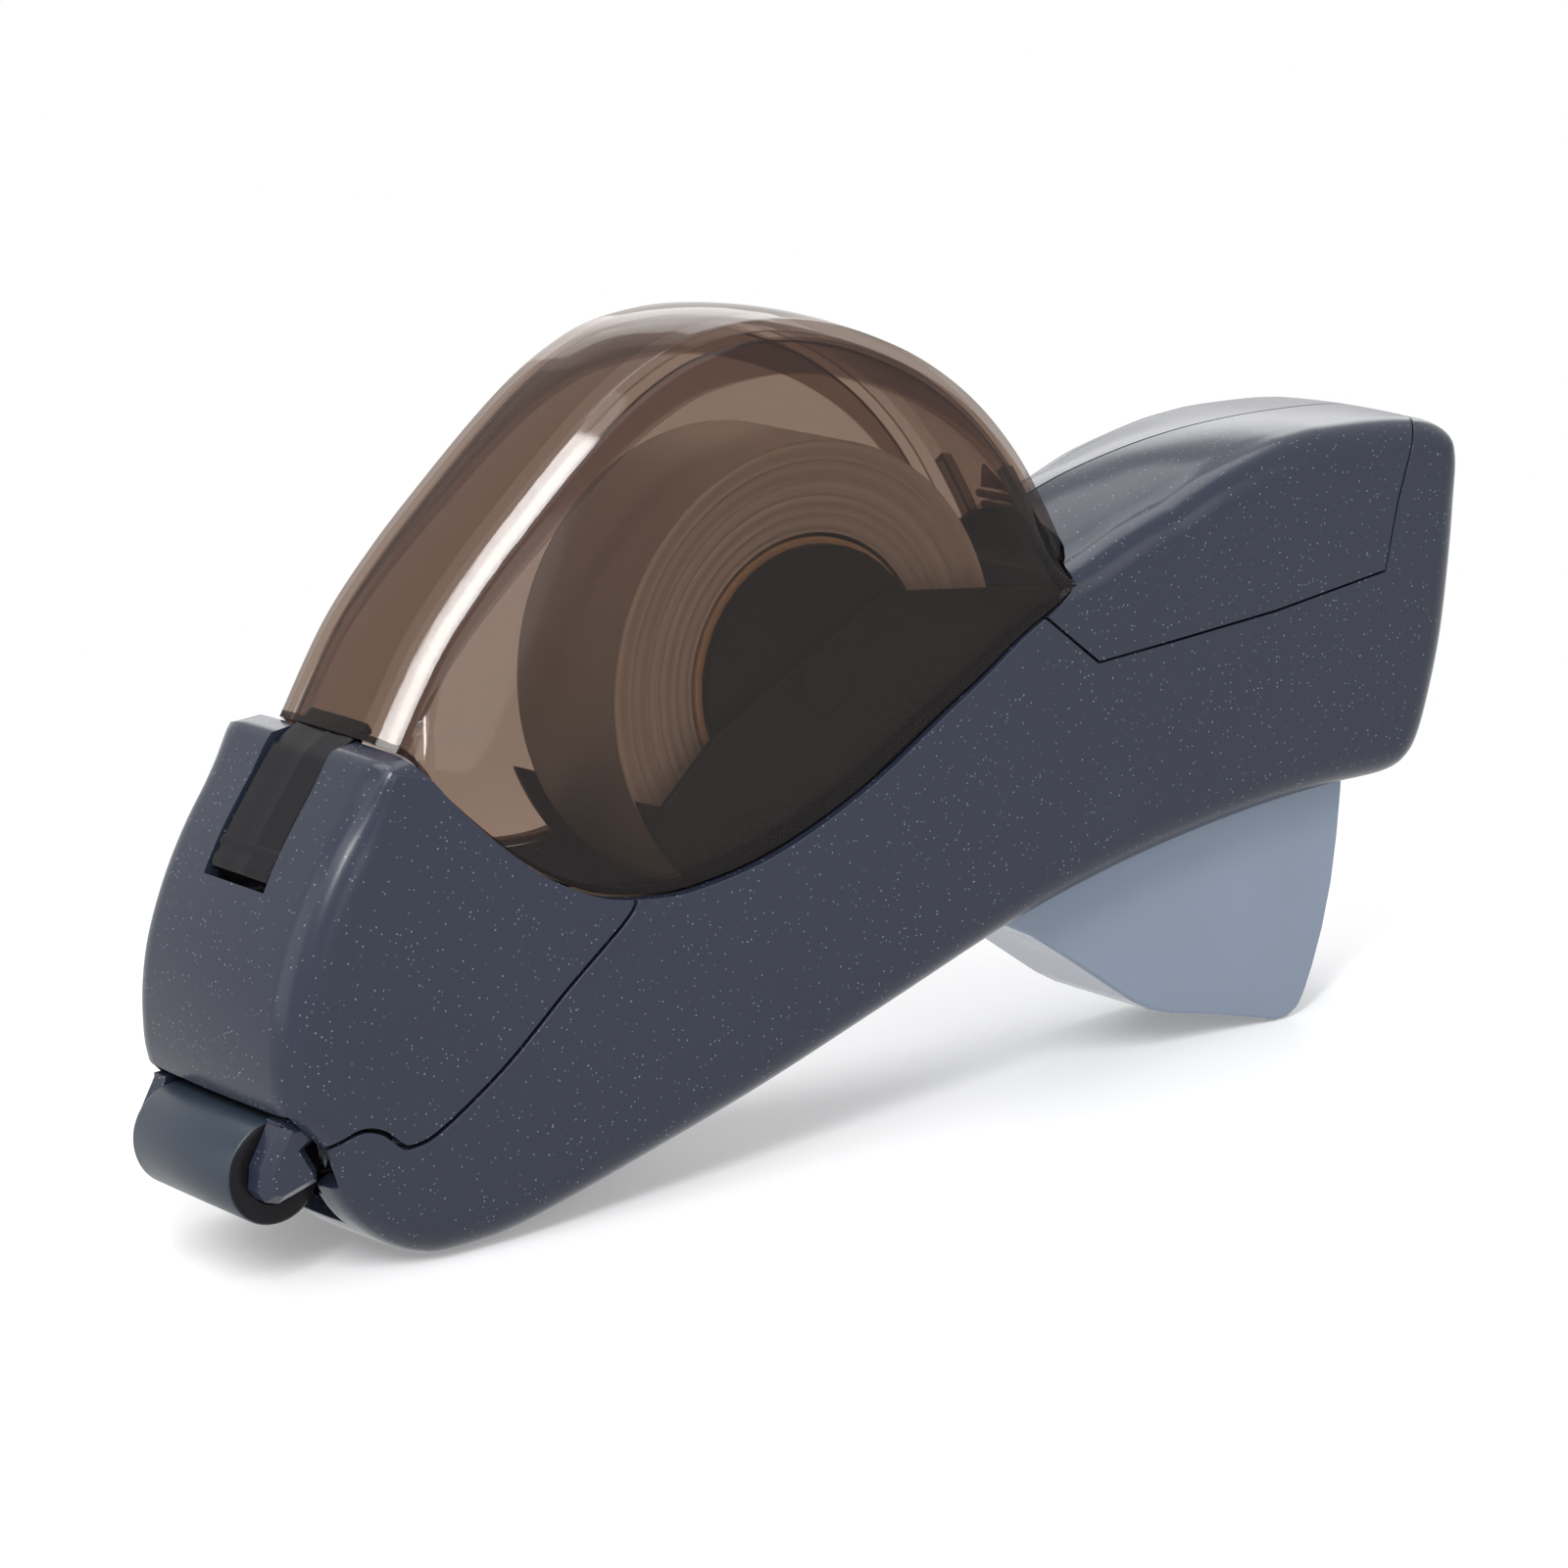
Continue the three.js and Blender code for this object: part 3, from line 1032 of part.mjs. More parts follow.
add('cutter_blade', makeBlade(), 'steel');
add('blade_rivet_left', makeRivet(rivetY[0]), 'steel');
add('blade_rivet_right', makeRivet(rivetY[1]), 'steel');
add('trigger', makeTrigger(), 'trigger');
add('trigger_pin', crossBar(TRIGGER, TRIGGER_PIN_RADIUS, -pinLength / 2, pinLength / 2, FACETS), 'steel');
add('trigger_spring', makeSpring(), 'steel');
for (const [i, where] of ['front', 'middle', 'rear'].entries()) {
  add(`case_screw_${where}`, makeScrew(screwPlaces[i]), 'steel');
}

const part = new THREE.Group();
part.add(dispenser);
export default part;
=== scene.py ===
"""Looks of a one-hand tape dispenser: moulded shells, see-through cover, roll, roller and trigger.

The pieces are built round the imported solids, in metres. The nose points along -X, the handle
along +X, and the middle plane of the tool is Y = 0.
"""

import json
import math

import bmesh
import bpy
from bpy.props import FloatProperty, FloatVectorProperty, IntProperty, PointerProperty
from bpy.types import Operator, Panel, PropertyGroup
from mathutils import Matrix, Vector


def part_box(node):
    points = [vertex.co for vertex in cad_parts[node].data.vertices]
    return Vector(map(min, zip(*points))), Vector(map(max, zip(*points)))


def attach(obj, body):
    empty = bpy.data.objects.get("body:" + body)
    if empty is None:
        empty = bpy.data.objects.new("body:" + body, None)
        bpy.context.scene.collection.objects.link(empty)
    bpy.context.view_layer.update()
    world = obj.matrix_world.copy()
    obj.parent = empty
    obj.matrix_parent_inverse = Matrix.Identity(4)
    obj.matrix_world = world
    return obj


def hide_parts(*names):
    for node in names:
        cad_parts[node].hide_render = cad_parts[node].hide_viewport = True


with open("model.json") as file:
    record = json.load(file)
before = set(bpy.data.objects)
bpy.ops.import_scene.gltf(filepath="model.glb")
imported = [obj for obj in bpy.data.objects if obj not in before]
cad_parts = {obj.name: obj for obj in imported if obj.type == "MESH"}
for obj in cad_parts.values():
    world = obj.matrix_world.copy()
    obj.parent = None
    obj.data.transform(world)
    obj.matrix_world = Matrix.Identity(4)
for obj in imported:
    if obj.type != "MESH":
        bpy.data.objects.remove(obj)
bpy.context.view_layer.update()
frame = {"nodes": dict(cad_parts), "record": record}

bl_info = {
    "name": "Tape dispenser",
    "version": (1, 0, 0),
    "blender": (4, 5, 0),
    "location": "3D View > Sidebar > Dispenser",
    "description": "Builds a one-hand tape dispenser with its materials, stage and camera",
    "category": "Add Mesh",
}

MM = 0.001

# The form's outline as shares of its length and height, once round from the handle's front end.
HANDLE_TOP_SHARES = [
    (0.5150, 0.6945), (0.5617, 0.7231), (0.5934, 0.7385), (0.6371, 0.7538), (0.6814, 0.7637),
    (0.7263, 0.7681), (0.7719, 0.7681), (0.8204, 0.7637), (0.8503, 0.7538), (0.8695, 0.7341),
]
REAR_SHARES = [
    (0.8760, 0.7033), (0.8760, 0.6593), (0.8719, 0.5824), (0.8635, 0.4835), (0.8533, 0.4121),
    (0.8401, 0.3462), (0.8263, 0.3143), (0.8054, 0.3011),
]
BOTTOM_SHARES = [
    (0.7545, 0.3000), (0.6994, 0.2945), (0.6455, 0.2846), (0.5928, 0.2714), (0.5401, 0.2538),
    (0.4886, 0.2319), (0.4383, 0.2055), (0.3551, 0.1560), (0.2503, 0.0956), (0.1557, 0.0484),
    (0.0886, 0.0165), (0.0569, 0.0044), (0.0329, 0.0000),
]
FOOT_SHARES = [
    (0.0030, 0.0000), (-0.0156, 0.0088), (-0.0311, 0.0231), (-0.0455, 0.0429), (-0.0587, 0.0681),
    (-0.0695, 0.1011), (-0.0766, 0.1341), (-0.0790, 0.1560),
]
HEAD_SHARES = [
    (-0.0910, 0.1637), (-0.0982, 0.1780), (-0.1018, 0.1978), (-0.1060, 0.2308), (-0.1066, 0.2747),
    (-0.1030, 0.3253), (-0.0958, 0.3714), (-0.0826, 0.4275), (-0.0653, 0.4824), (-0.0431, 0.5385),
    (-0.0257, 0.5813),
]
UNDER_COVER_SHARES = [(-0.0100, 0.5850), (0.1250, 0.6120), (0.3000, 0.6470), (0.4700, 0.6820)]

# How far the middle stands proud of its sides, as shares of the crown at the neck, along the form.
CROWN_PLACE_SHARES = [0.515, 0.563, 0.605, 0.641, 0.677, 0.713, 0.749, 0.878]
CROWN_SHARES = [1.00, 0.93, 0.88, 0.58, 0.40, 0.20, 0.10, 0.08]

# The cover's outlines, the seams and the grip, as shares of the form's length and height.
COVER_TOP_SHARES = [
    (-0.0114, 0.5912), (0.0240, 0.6921), (0.0617, 0.7679), (0.1018, 0.8350), (0.1413, 0.8965),
    (0.1737, 0.9407), (0.2012, 0.9692), (0.2305, 0.9900), (0.2665, 1.0000), (0.3030, 1.0000),
    (0.3413, 0.9879), (0.3802, 0.9637), (0.4222, 0.9253), (0.4623, 0.8703), (0.4958, 0.8022),
    (0.5198, 0.7319), (0.5401, 0.6571),
]
COVER_RIM_SHARES = [
    (0.0085, 0.5539), (0.0246, 0.5198), (0.0515, 0.4714), (0.0790, 0.4297), (0.1072, 0.3989),
    (0.1365, 0.3780), (0.1808, 0.3670), (0.2114, 0.3703), (0.2425, 0.3791), (0.2737, 0.3945),
    (0.3132, 0.4220), (0.3539, 0.4582), (0.4030, 0.5110), (0.4365, 0.5462), (0.4701, 0.5846),
    (0.5036, 0.6160), (0.5162, 0.6330),
]
NOSE_SEAM_SHARES = [
    (-0.0800, 0.1580), (-0.0731, 0.1692), (-0.0623, 0.1780), (-0.0515, 0.1791), (-0.0413, 0.1725),
    (-0.0347, 0.1637), (-0.0281, 0.1527), (-0.0210, 0.1484), (0.0000, 0.1593), (0.0479, 0.2143),
    (0.0958, 0.2857), (0.1347, 0.3396), (0.1407, 0.3484), (0.1491, 0.3659), (0.1491, 0.3956),
]
PANEL_SEAM_SHARES = [
    (0.4760, 0.6231), (0.5347, 0.5341), (0.6048, 0.5418), (0.6934, 0.5527), (0.7952, 0.5758),
    (0.8072, 0.6615), (0.8216, 0.7330),
]
GRIP_SHARES = [
    (0.4395, 0.2363), (0.4581, 0.2264), (0.4766, 0.2121), (0.5030, 0.1868), (0.5371, 0.1429),
    (0.5713, 0.0967), (0.5886, 0.0736), (0.6060, 0.0549), (0.6257, 0.0429), (0.6683, 0.0253),
    (0.7096, 0.0055), (0.7174, 0.0000), (0.7305, 0.0000), (0.7413, 0.0099), (0.7479, 0.0286),
    (0.7557, 0.0593), (0.7653, 0.1055), (0.7743, 0.1648), (0.7802, 0.2253), (0.7844, 0.2857),
    (0.7856, 0.3297), (0.6000, 0.3240), (0.4790, 0.3187), (0.4192, 0.3088),
]

# The cheek's upper edge as shares of the roll's radius, and its round edge as shares of a turn.
CHEEK_EDGE_SHARES = [(1.398, 0.200), (0.335, 0.327), (-0.551, -0.134), (-0.846, -0.402)]
CHEEK_TURN_SHARES = (0.5556, 0.9500)

# The roller's arm as shares of its own reach, and the frame's plate as shares of the form.
ARM_FRONT_SHARES = [(-0.22, 1.34), (-0.79, 0.37), (-0.86, -0.20), (-0.70, -0.46), (-0.34, -0.57)]
ARM_REAR_SHARES = [(0.80, -0.24), (0.79, 0.10), (0.48, 0.66), (1.00, 1.02)]
FRAME_PLATE_SHARES = [
    (-0.0850, 0.1900), (-0.0835, 0.3400), (-0.0680, 0.3900), (-0.0240, 0.3930), (0.0120, 0.3300),
    (0.0120, 0.2300), (-0.0180, 0.1760), (-0.0850, 0.1760),
]

# Places as shares of the form's length and height.
REAR_FACE_PLACE = (0.8000, 0.6200)
BULKHEAD_FOOT = (0.5250, 0.4340)
BULKHEAD_KNEE = (0.5262, 0.6350)
LEVER_MOUTH = (0.0240, 0.2407)

# Single places as shares of the form's length.
ROLLER_PLACE_SHARE = -0.0964
ARM_BACK_SHARE = -0.0701
LIP_FRONT_SHARE = -0.0300
NOSE_FACE_SHARE = 0.0000
LEVER_BEND_SHARE = 0.1796
COVER_REAR_SHARE = 0.4000
CROWN_FRONT_SHARE = 0.4500
BULKHEAD_FROM_SHARE = 0.5000
PANEL_MIDDLE_SHARE = 0.6200
PANEL_LEAN_SHARE = 0.0480
WIDTH_PLACE_SHARES = (0.12, 0.36, 0.72)
GRIP_SLOT_SHARES = (0.4370, 0.7908)

# Single heights as shares of the form's height.
RECESS_TOP_SHARE = 0.1989
GRIP_TOP_SHARE = 0.3100
SLOT_BOTTOM_SHARE = 0.4340
NOSE_TOP_SHARE = 0.5780
BULKHEAD_CORNER_SHARE = 0.6400
BULKHEAD_TOP_SHARE = 0.6720
TAB_TOP_SHARE = 0.7700

# How finely the shapes are divided. The turns are in degrees round the form's edge.
CURVE_STEPS = 12
CROSSING_HALVINGS = 12
RIM_HALVINGS = 20
TRIM_STEPS = 3
REAR_STEPS = 16
EDGE_TURNS = [11, 22, 33, 44, 55, 66, 78, 90]
CHEEK_STEPS = 48
ROLL_RINGS = 28

# Points nearer than the first are merged, and seams keep the second from the corners they meet.
MERGE = 0.01 * MM
APART = 0.1 * MM

# How far along the outline a row's end is looked for, for the panel to its front and its rear.
SEAM_SEARCH = 12 * MM
COVER_SEARCH = 20 * MM
REAR_SEARCH = 30 * MM
PANEL_SEARCH = (40 * MM, 60 * MM)

# The strips behind the seams: how far they reach to both sides, and their wall.
LIP_REACH = 1.6 * MM
LIP_WALL = 0.6 * MM

# The lamps: name, place, target, size, power and, where it matters, which way the length runs.
LAMPS = (
    ("key_softbox", (-0.55, -0.35, 0.85), (0.0, 0.0, 0.05), (0.7, 0.7), 4.4),
    ("side_softbox", (0.15, -1.0, 0.45), (0.0, 0.0, 0.05), (1.0, 0.7), 3.4),
    ("top_softbox", (0.1, 0.25, 0.95), (0.0, 0.0, 0.05), (0.8, 0.6), 5.0),
    ("front_softbox", (-1.0, 0.15, 0.30), (0.0, 0.0, 0.04), (0.9, 0.7), 2.6),
    ("rear_softbox", (0.65, 0.85, 0.48), (0.03, 0.0, 0.06), (0.9, 0.45), 2.2),
    ("band_lamp", (-0.4245, -0.4365, 0.607), (-0.052, -0.010, 0.067), (0.52, 0.07), 4.3,
     (0.265, 0.049, 0.234)),
)

# The camera of the photograph's view, with its turns in degrees and its lens in millimetres.
CAMERA_PLACE = (-0.335092, -0.439584, 0.170754)
CAMERA_HEADING, CAMERA_PITCH, CAMERA_ROLL = -36.823, 13.606, -1.912
CAMERA_LENS = 119.25

WHITE = (1, 1, 1, 1)


def length(name, description, millimetres):
    """A length that a user may change."""
    return FloatProperty(name=name, description=description, default=millimetres * MM,
                         unit="LENGTH")


def colour(name, description, value):
    """A colour that a user may change."""
    return FloatVectorProperty(name=name, description=description, default=value, size=3,
                               min=0.0, max=1.0, subtype="COLOR")


class DispenserSizes(PropertyGroup):
    """The sizes of the moulded form and of what sits on it."""

    form_length: length("Form length", "Length that the outlines are shares of", 167)
    form_height: length("Form height", "Height of the cover's top", 91)
    head_width: length("Head width", "Width of the nose", 31.4)
    neck_width: length("Neck width", "Width behind the cover", 30.2)
    handle_width: length("Handle width", "Width of the handle", 28.4)
    neck_crown: length("Neck crown", "How far the handle's middle stands proud at its front", 3.8)
    edge_radius: length("Edge radius", "Rounding along the form's edges", 4)
    wall: length("Wall", "Thickness of the moulded wall", 1.8)
    gap: length("Gap", "Gap between neighbouring mouldings", 0.3)
    seam_gap: length("Seam gap", "Gap between the nose and the body halves", 0.5)
    soft_edge: length("Soft edge", "Rounding of the cut edges of the mouldings", 0.28)
    cover_top_width: length("Cover top width", "Width of the cover's top strip", 21.6)
    cover_rim_width: length("Cover rim width", "Width of the cover across its rims", 28.8)
    cover_edge_radius: length("Cover edge radius", "Rounding beside the cover's top strip", 2.6)
    cover_crown: length("Cover crown", "How far the top strip's middle stands proud", 0.5)
    cover_wall: length("Cover wall", "Thickness of the cover", 1.4)
    tab_width: length("Tab width", "Width of the cover's press tab", 9.4)
    tab_slit: length("Tab slit", "Width of the slits beside the tab", 1.5)
    tab_slit_length: length("Tab slit length", "Length of the slits beside the tab", 12)
    tongue_width: length("Tongue width", "Width of the cover's hinge tongue", 10.9)
    step: length("Step", "Spacing of the points along the outlines", 1.0)
    tab_ribs: IntProperty(name="Tab ribs", description="Thumb ribs on the tab", default=4, min=0)


class DispenserColours(PropertyGroup):
    """The colours of the finishes."""

    body: colour("Body", "Moulded body", (0.0165, 0.0205, 0.0350))
    speck: colour("Speck", "Fine specks in the body", (0.42, 0.47, 0.55))
    smoke_tint: colour("Smoke tint", "Light let through one face of the cover",
                       (0.768, 0.695, 0.648))
    smoke_body: colour("Smoke body", "Haze in the cover's wall", (0.017, 0.014, 0.015))
    dark: colour("Dark", "Tongue and inner mouldings", (0.0070, 0.0068, 0.0082))
    trigger: colour("Trigger", "Trigger lever", (0.158, 0.195, 0.255))
    roller: colour("Roller", "Press roller", (0.019, 0.028, 0.041))
    tape: colour("Tape", "Wound tape seen on its edge", (0.320, 0.285, 0.250))
    card: colour("Card", "Core of the roll", (0.43, 0.29, 0.16))
    white: colour("White", "Slippery inner mouldings", (0.68, 0.68, 0.65))
    steel: colour("Steel", "Pins, screws, spring and blade", (0.50, 0.51, 0.53))
    floor: colour("Floor", "Floor under the tool", (0.86, 0.86, 0.87))


# Paths in X and Z.

def smooth(points, step, closed=False):
    """A curve through the points, as points about a step apart."""
    count = len(points)
    fine = []
    for i in range(count if closed else count - 1):
        if closed:
            p0, p1, p2, p3 = (points[(i + k) % count] for k in (-1, 0, 1, 2))
        else:
            p0, p1 = points[max(i - 1, 0)], points[i]
            p2, p3 = points[i + 1], points[min(i + 2, count - 1)]
        for n in range(CURVE_STEPS):
            t = n / CURVE_STEPS
            fine.append(0.5 * ((2 * p1) + (p2 - p0) * t + (2 * p0 - 5 * p1 + 4 * p2 - p3) * t ** 2
                               + (3 * p1 - 3 * p2 + p3 - p0) * t ** 3))
    fine.append(points[0] if closed else points[-1])
    return respaced(fine, step)


def respaced(points, step):
    """The same path as points at even spacing, with both of its ends kept."""
    reach = [0.0]
    for before, after in zip(points, points[1:]):
        reach.append(reach[-1] + (after - before).length)
    count = max(round(reach[-1] / step), 1)
    spaced = []
    k = 0
    for i in range(count + 1):
        at = reach[-1] * i / count
        while k < len(points) - 2 and reach[k + 1] < at:
            k += 1
        span = reach[k + 1] - reach[k]
        share = min((at - reach[k]) / span, 1.0) if span else 0.0
        spaced.append(points[k].lerp(points[k + 1], share))
    return spaced


def outward(points):
    """The left side of each point of a path, which is its outer side on a clockwise loop."""
    normals = []
    for i in range(len(points)):
        along = (points[min(i + 1, len(points) - 1)] - points[max(i - 1, 0)]).normalized()
        normals.append(Vector((-along.y, along.x)))
    return normals


def moved(points, distance):
    """A path moved sideways, to its left where the distance is positive."""
    return [point + side * distance for point, side in zip(points, outward(points))]


def height_on(path, x):
    """The height of a path that runs along X, at one place on it."""
    if x <= path[0].x:
        return path[0].y
    for before, after in zip(path, path[1:]):
        if before.x <= x <= after.x and after.x > before.x:
            return before.y + (after.y - before.y) * (x - before.x) / (after.x - before.x)
    return path[-1].y


def within(loop, x, z):
    """Whether a place lies inside a closed loop."""
    inside = False
    for a, b in zip(loop, loop[1:] + loop[:1]):
        if (a.y > z) != (b.y > z) and x < a.x + (b.x - a.x) * (z - a.y) / (b.y - a.y):
            inside = not inside
    return inside


def blend_table(places, values, x):
    """A value read from a table by straight lines between its places."""
    if x <= places[0]:
        return values[0]
    for i in range(len(places) - 1):
        if x <= places[i + 1]:
            t = (x - places[i]) / (places[i + 1] - places[i])
            return values[i] + (values[i + 1] - values[i]) * t
    return values[-1]


# Rows across the form: each gives its distance from the middle plane and how far it lies below
# the outline, from the flat half width, the edge radius and the crown there.

def middle_row(share):
    """A row at a share of the flat half width."""
    return lambda flat, edge, crown: (share * flat, crown * share ** 2)


def pinned_row(y):
    """A row at one distance from the middle plane all along the form."""
    return lambda flat, edge, crown: (y, crown * (y / flat) ** 2)


def edge_row(turn):
    """A row on the rounded edge, turned down by an angle."""
    return lambda flat, edge, crown: (flat + edge * math.sin(turn),
                                      crown + edge * (1 - math.cos(turn)))


def middle_of(node):
    """The middle of a solid's box."""
    low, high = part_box(node)
    return (Vector(low) + Vector(high)) / 2


def half_of(node, axis):
    """Half of a solid's size along an axis."""
    low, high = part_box(node)
    return (high[axis] - low[axis]) / 2


class Form:
    """The moulded form: a closed side outline with a crown and rounded edges across it."""

    FINE = 0.5 * MM

    def __init__(self, sizes):
        self.sizes = sizes
        roller_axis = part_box("press_roller")[0].x + half_of("press_roller", 2)
        self.shift = roller_axis - ROLLER_PLACE_SHARE * sizes.form_length
        outline = HANDLE_TOP_SHARES + REAR_SHARES + BOTTOM_SHARES + FOOT_SHARES + HEAD_SHARES
        outline = self.places(outline + UNDER_COVER_SHARES)
        self.line = smooth(outline, self.FINE, closed=True)[:-1]
        self.count = len(self.line)
        self.fine = sum((self.line[(i + 1) % self.count] - p).length
                        for i, p in enumerate(self.line)) / self.count
        self.total = self.fine * self.count
        self.normals = []
        for i in range(self.count):
            along = (self.line[(i + 1) % self.count] - self.line[i - 1]).normalized()
            self.normals.append(Vector((-along.y, along.x)))
        self.limits = self._limits()
        self.cover_top = smooth(self.places(COVER_TOP_SHARES), sizes.step)
        self.cover_rim = smooth(self.places(COVER_RIM_SHARES), sizes.step)
        self.cover_length = sum((b - a).length for a, b in zip(self.cover_rim, self.cover_rim[1:]))
        self.rim_low = moved(self.cover_rim, -sizes.gap)
        self.cover_loop = moved(self.cover_top, sizes.gap) + self.rim_low[::-1]
        self.nose_seam = smooth(self.places(NOSE_SEAM_SHARES), 0.5 * sizes.step)
        self.panel_seam = self.places(PANEL_SEAM_SHARES)

    def place(self, share):
        """A place in X and Z from its shares of the length and height."""
        return Vector((self.x_at(share[0]), share[1] * self.sizes.form_height))

    def places(self, shares):
        """The places in X and Z of a list of shares."""
        return [self.place(share) for share in shares]

    def x_at(self, share):
        """A place along the form from its share of the length."""
        return share * self.sizes.form_length + self.shift

    def inner(self, share):
        """A point of the middle plane from its shares of the length and height."""
        return Vector((self.x_at(share[0]), 0, share[1] * self.sizes.form_height))

    def _limits(self):
        """How much of the full rounding fits at each point, so that tight bends don't fold."""
        span, reach, most = 4, 7, 0.8
        raw = []
        for i in range(self.count):
            into = self.line[i] - self.line[i - span]
            out = self.line[(i + span) % self.count] - self.line[i]
            turn = math.atan2(out.x * into.y - out.y * into.x, out.dot(into))
            bend = turn / (span * self.fine)
            need = self.sizes.edge_radius + self.crown(self.line[i].x)
            raw.append(min(1.0, most / bend / need) if bend > 0 else 1.0)
        near = range(-reach, reach + 1)
        count = self.count
        low = [min(raw[(i + k) % count] for k in near) for i in range(count)]
        return [sum(low[(i + k) % count] for k in near) / len(near) for i in range(count)]

    def half_width(self, x):
        """Half of the form's width at a place along it."""
        sizes = self.sizes
        places = [self.x_at(share) for share in WIDTH_PLACE_SHARES]
        widths = [sizes.head_width / 2, sizes.neck_width / 2, sizes.handle_width / 2]
        return blend_table(places, widths, x)

    def crown(self, x):
        """How far the top's middle stands proud of its sides at a place along it."""
        places = [self.x_at(share) for share in CROWN_PLACE_SHARES]
        if x < self.x_at(CROWN_FRONT_SHARE):
            return self.sizes.neck_crown * CROWN_SHARES[-1]
        return self.sizes.neck_crown * blend_table(places, CROWN_SHARES, x)

    def at(self, s, row, side):
        """The point of a row at a distance along the outline."""
        where = (s / self.fine) % self.count
        i = int(where)
        j = (i + 1) % self.count
        t = where - i
        point = self.line[i].lerp(self.line[j], t)
        normal = self.normals[i].lerp(self.normals[j], t).normalized()
        limit = self.limits[i] + (self.limits[j] - self.limits[i]) * t
        edge = self.sizes.edge_radius
        on_top = normal.y > 0 and point.x > self.x_at(CROWN_FRONT_SHARE)
        crown = self.crown(point.x) if on_top else self.sizes.neck_crown * CROWN_SHARES[-1]
        y, drop = row(self.half_width(point.x) - edge, edge, crown)
        inner = point - normal * drop * limit
        y += self.half_width(inner.x) - self.half_width(point.x)
        return Vector((inner.x, side * y, inner.y))

    def reach(self, test, start=0.0):
        """The first distance along the outline, from a start, whose point passes a test."""
        steps = int(self.total / self.fine)
        for k in range(steps):
            s = start + k * self.fine
            if test(self.line[int(s / self.fine) % self.count]):
                return s
        raise ValueError("the outline has no such place")

    def rear_face(self):
        """The distance along the outline of a place on the handle's rear face."""
        place = self.place(REAR_FACE_PLACE)
        return self.reach(lambda p: p.y < place.y and p.x > place.x)

    def crossing(self, row, side, inside_at, outside_at, inside):
        """Where a row leaves a region, between a distance inside it and one outside it."""
        step = self.FINE if outside_at > inside_at else -self.FINE
        most = abs(outside_at - inside_at)
        low = inside_at
        while abs(low - inside_at) < most and inside(self.at(low + step, row, side)):
            low += step
        high = low + step
        for _ in range(CROSSING_HALVINGS):
            middle = (low + high) / 2
            if inside(self.at(middle, row, side)):
                low = middle
            else:
                high = middle
        return low


class Rows:
    """The points of a shell's wrapped part: even in the middle, trimmed row by row at its ends."""

    def __init__(self, form, rows, fixed, starts, ends, start_steps, end_steps,
                 curved_start=False):
        self.form = form
        self.rows = rows
        self.fixed = fixed
        self.starts = starts
        self.ends = ends
        self.start_steps = start_steps
        self.end_steps = end_steps
        self.curved_start = curved_start
        self.columns = start_steps + len(fixed) - 1 + end_steps

    def column(self, s):
        """The column of a station among the even ones."""
        return self.start_steps + min(range(len(self.fixed)), key=lambda k: abs(self.fixed[k] - s))

    def at(self, i, j):
        """The point at a column and a row."""
        side, row = self.rows[j]
        if i < self.start_steps:
            share = i / self.start_steps
            if self.curved_start:
                s = self.starts[j] + (self.fixed[0] - self.starts[j]) * share
                return self.form.at(s, row, side)
            first = self.form.at(self.starts[j], row, side)
            return first.lerp(self.form.at(self.fixed[0], row, side), share)
        i -= self.start_steps
        if i < len(self.fixed):
            return self.form.at(self.fixed[i], row, side)
        share = (i - len(self.fixed) + 1) / self.end_steps
        last = self.form.at(self.fixed[-1], row, side)
        return last.lerp(self.form.at(self.ends[j], row, side), share)


def spread(stations, step):
    """Distances at about a step apart that pass through all the stations given."""
    values = [stations[0]]
    for low, high in zip(stations, stations[1:]):
        count = max(round((high - low) / step), 1)
        values += [low + (high - low) * (k + 1) / count for k in range(count)]
    return values


# Mesh helpers.

def sheet(bm, columns, rows, shape):
    """A grid whose points are placed by a function of their column and row."""
    made = bmesh.ops.create_grid(bm, x_segments=columns, y_segments=rows, size=0.5)
    for vert in made["verts"]:
        i = round((vert.co.x + 0.5) * columns)
        j = round((vert.co.y + 0.5) * rows)
        vert.co = shape(i, j)


def plate(bm, points):
    """One flat face through a loop of points."""
    verts = [bm.verts.new(point) for point in points]
    edges = [bm.edges.new(pair) for pair in zip(verts, verts[1:] + verts[:1])]
    return bmesh.ops.edgeloop_fill(bm, edges=edges)["faces"]


def cut_window(bm, test, columns=0):
    """Takes out the faces that pass a test of their middle and their column on the grid."""
    faces = []
    for face in bm.faces:
        column = min(vert.index % (columns + 1) for vert in face.verts)
        if test(face.calc_center_median(), column):
            faces.append(face)
    bmesh.ops.delete(bm, geom=faces, context="FACES_KEEP_BOUNDARY")


def creased(bm, form):
    """Splits the side faces where the form's width changes its slope, so that each stays flat."""
    many_corners = 12
    for share in WIDTH_PLACE_SHARES:
        sides = [face for face in bm.faces if len(face.verts) > many_corners]
        geom = set(sides)
        for face in sides:
            geom.update(face.edges)
            geom.update(face.verts)
        bmesh.ops.bisect_plane(bm, geom=list(geom), plane_co=(form.x_at(share), 0, 0),
                               plane_no=(1, 0, 0), dist=0.05 * MM)


def face_out(bm, inside):
    """Merges a joined sheet and turns its faces away from a place inside it."""
    bmesh.ops.remove_doubles(bm, verts=bm.verts, dist=MERGE)
    bmesh.ops.recalc_face_normals(bm, faces=bm.faces)
    far = max(bm.faces, key=lambda face: (face.calc_center_median() - inside).length)
    if far.normal.dot(far.calc_center_median() - inside) < 0:
        bmesh.ops.reverse_faces(bm, faces=bm.faces)


def thicken(made, thickness, rim=0):
    """Gives a sheet its wall on the inner side."""
    wall = made.modifiers.new("wall", "SOLIDIFY")
    wall.thickness = thickness
    wall.offset = -1.0
    wall.use_even_offset = False
    wall.use_quality_normals = True
    wall.material_offset_rim = rim


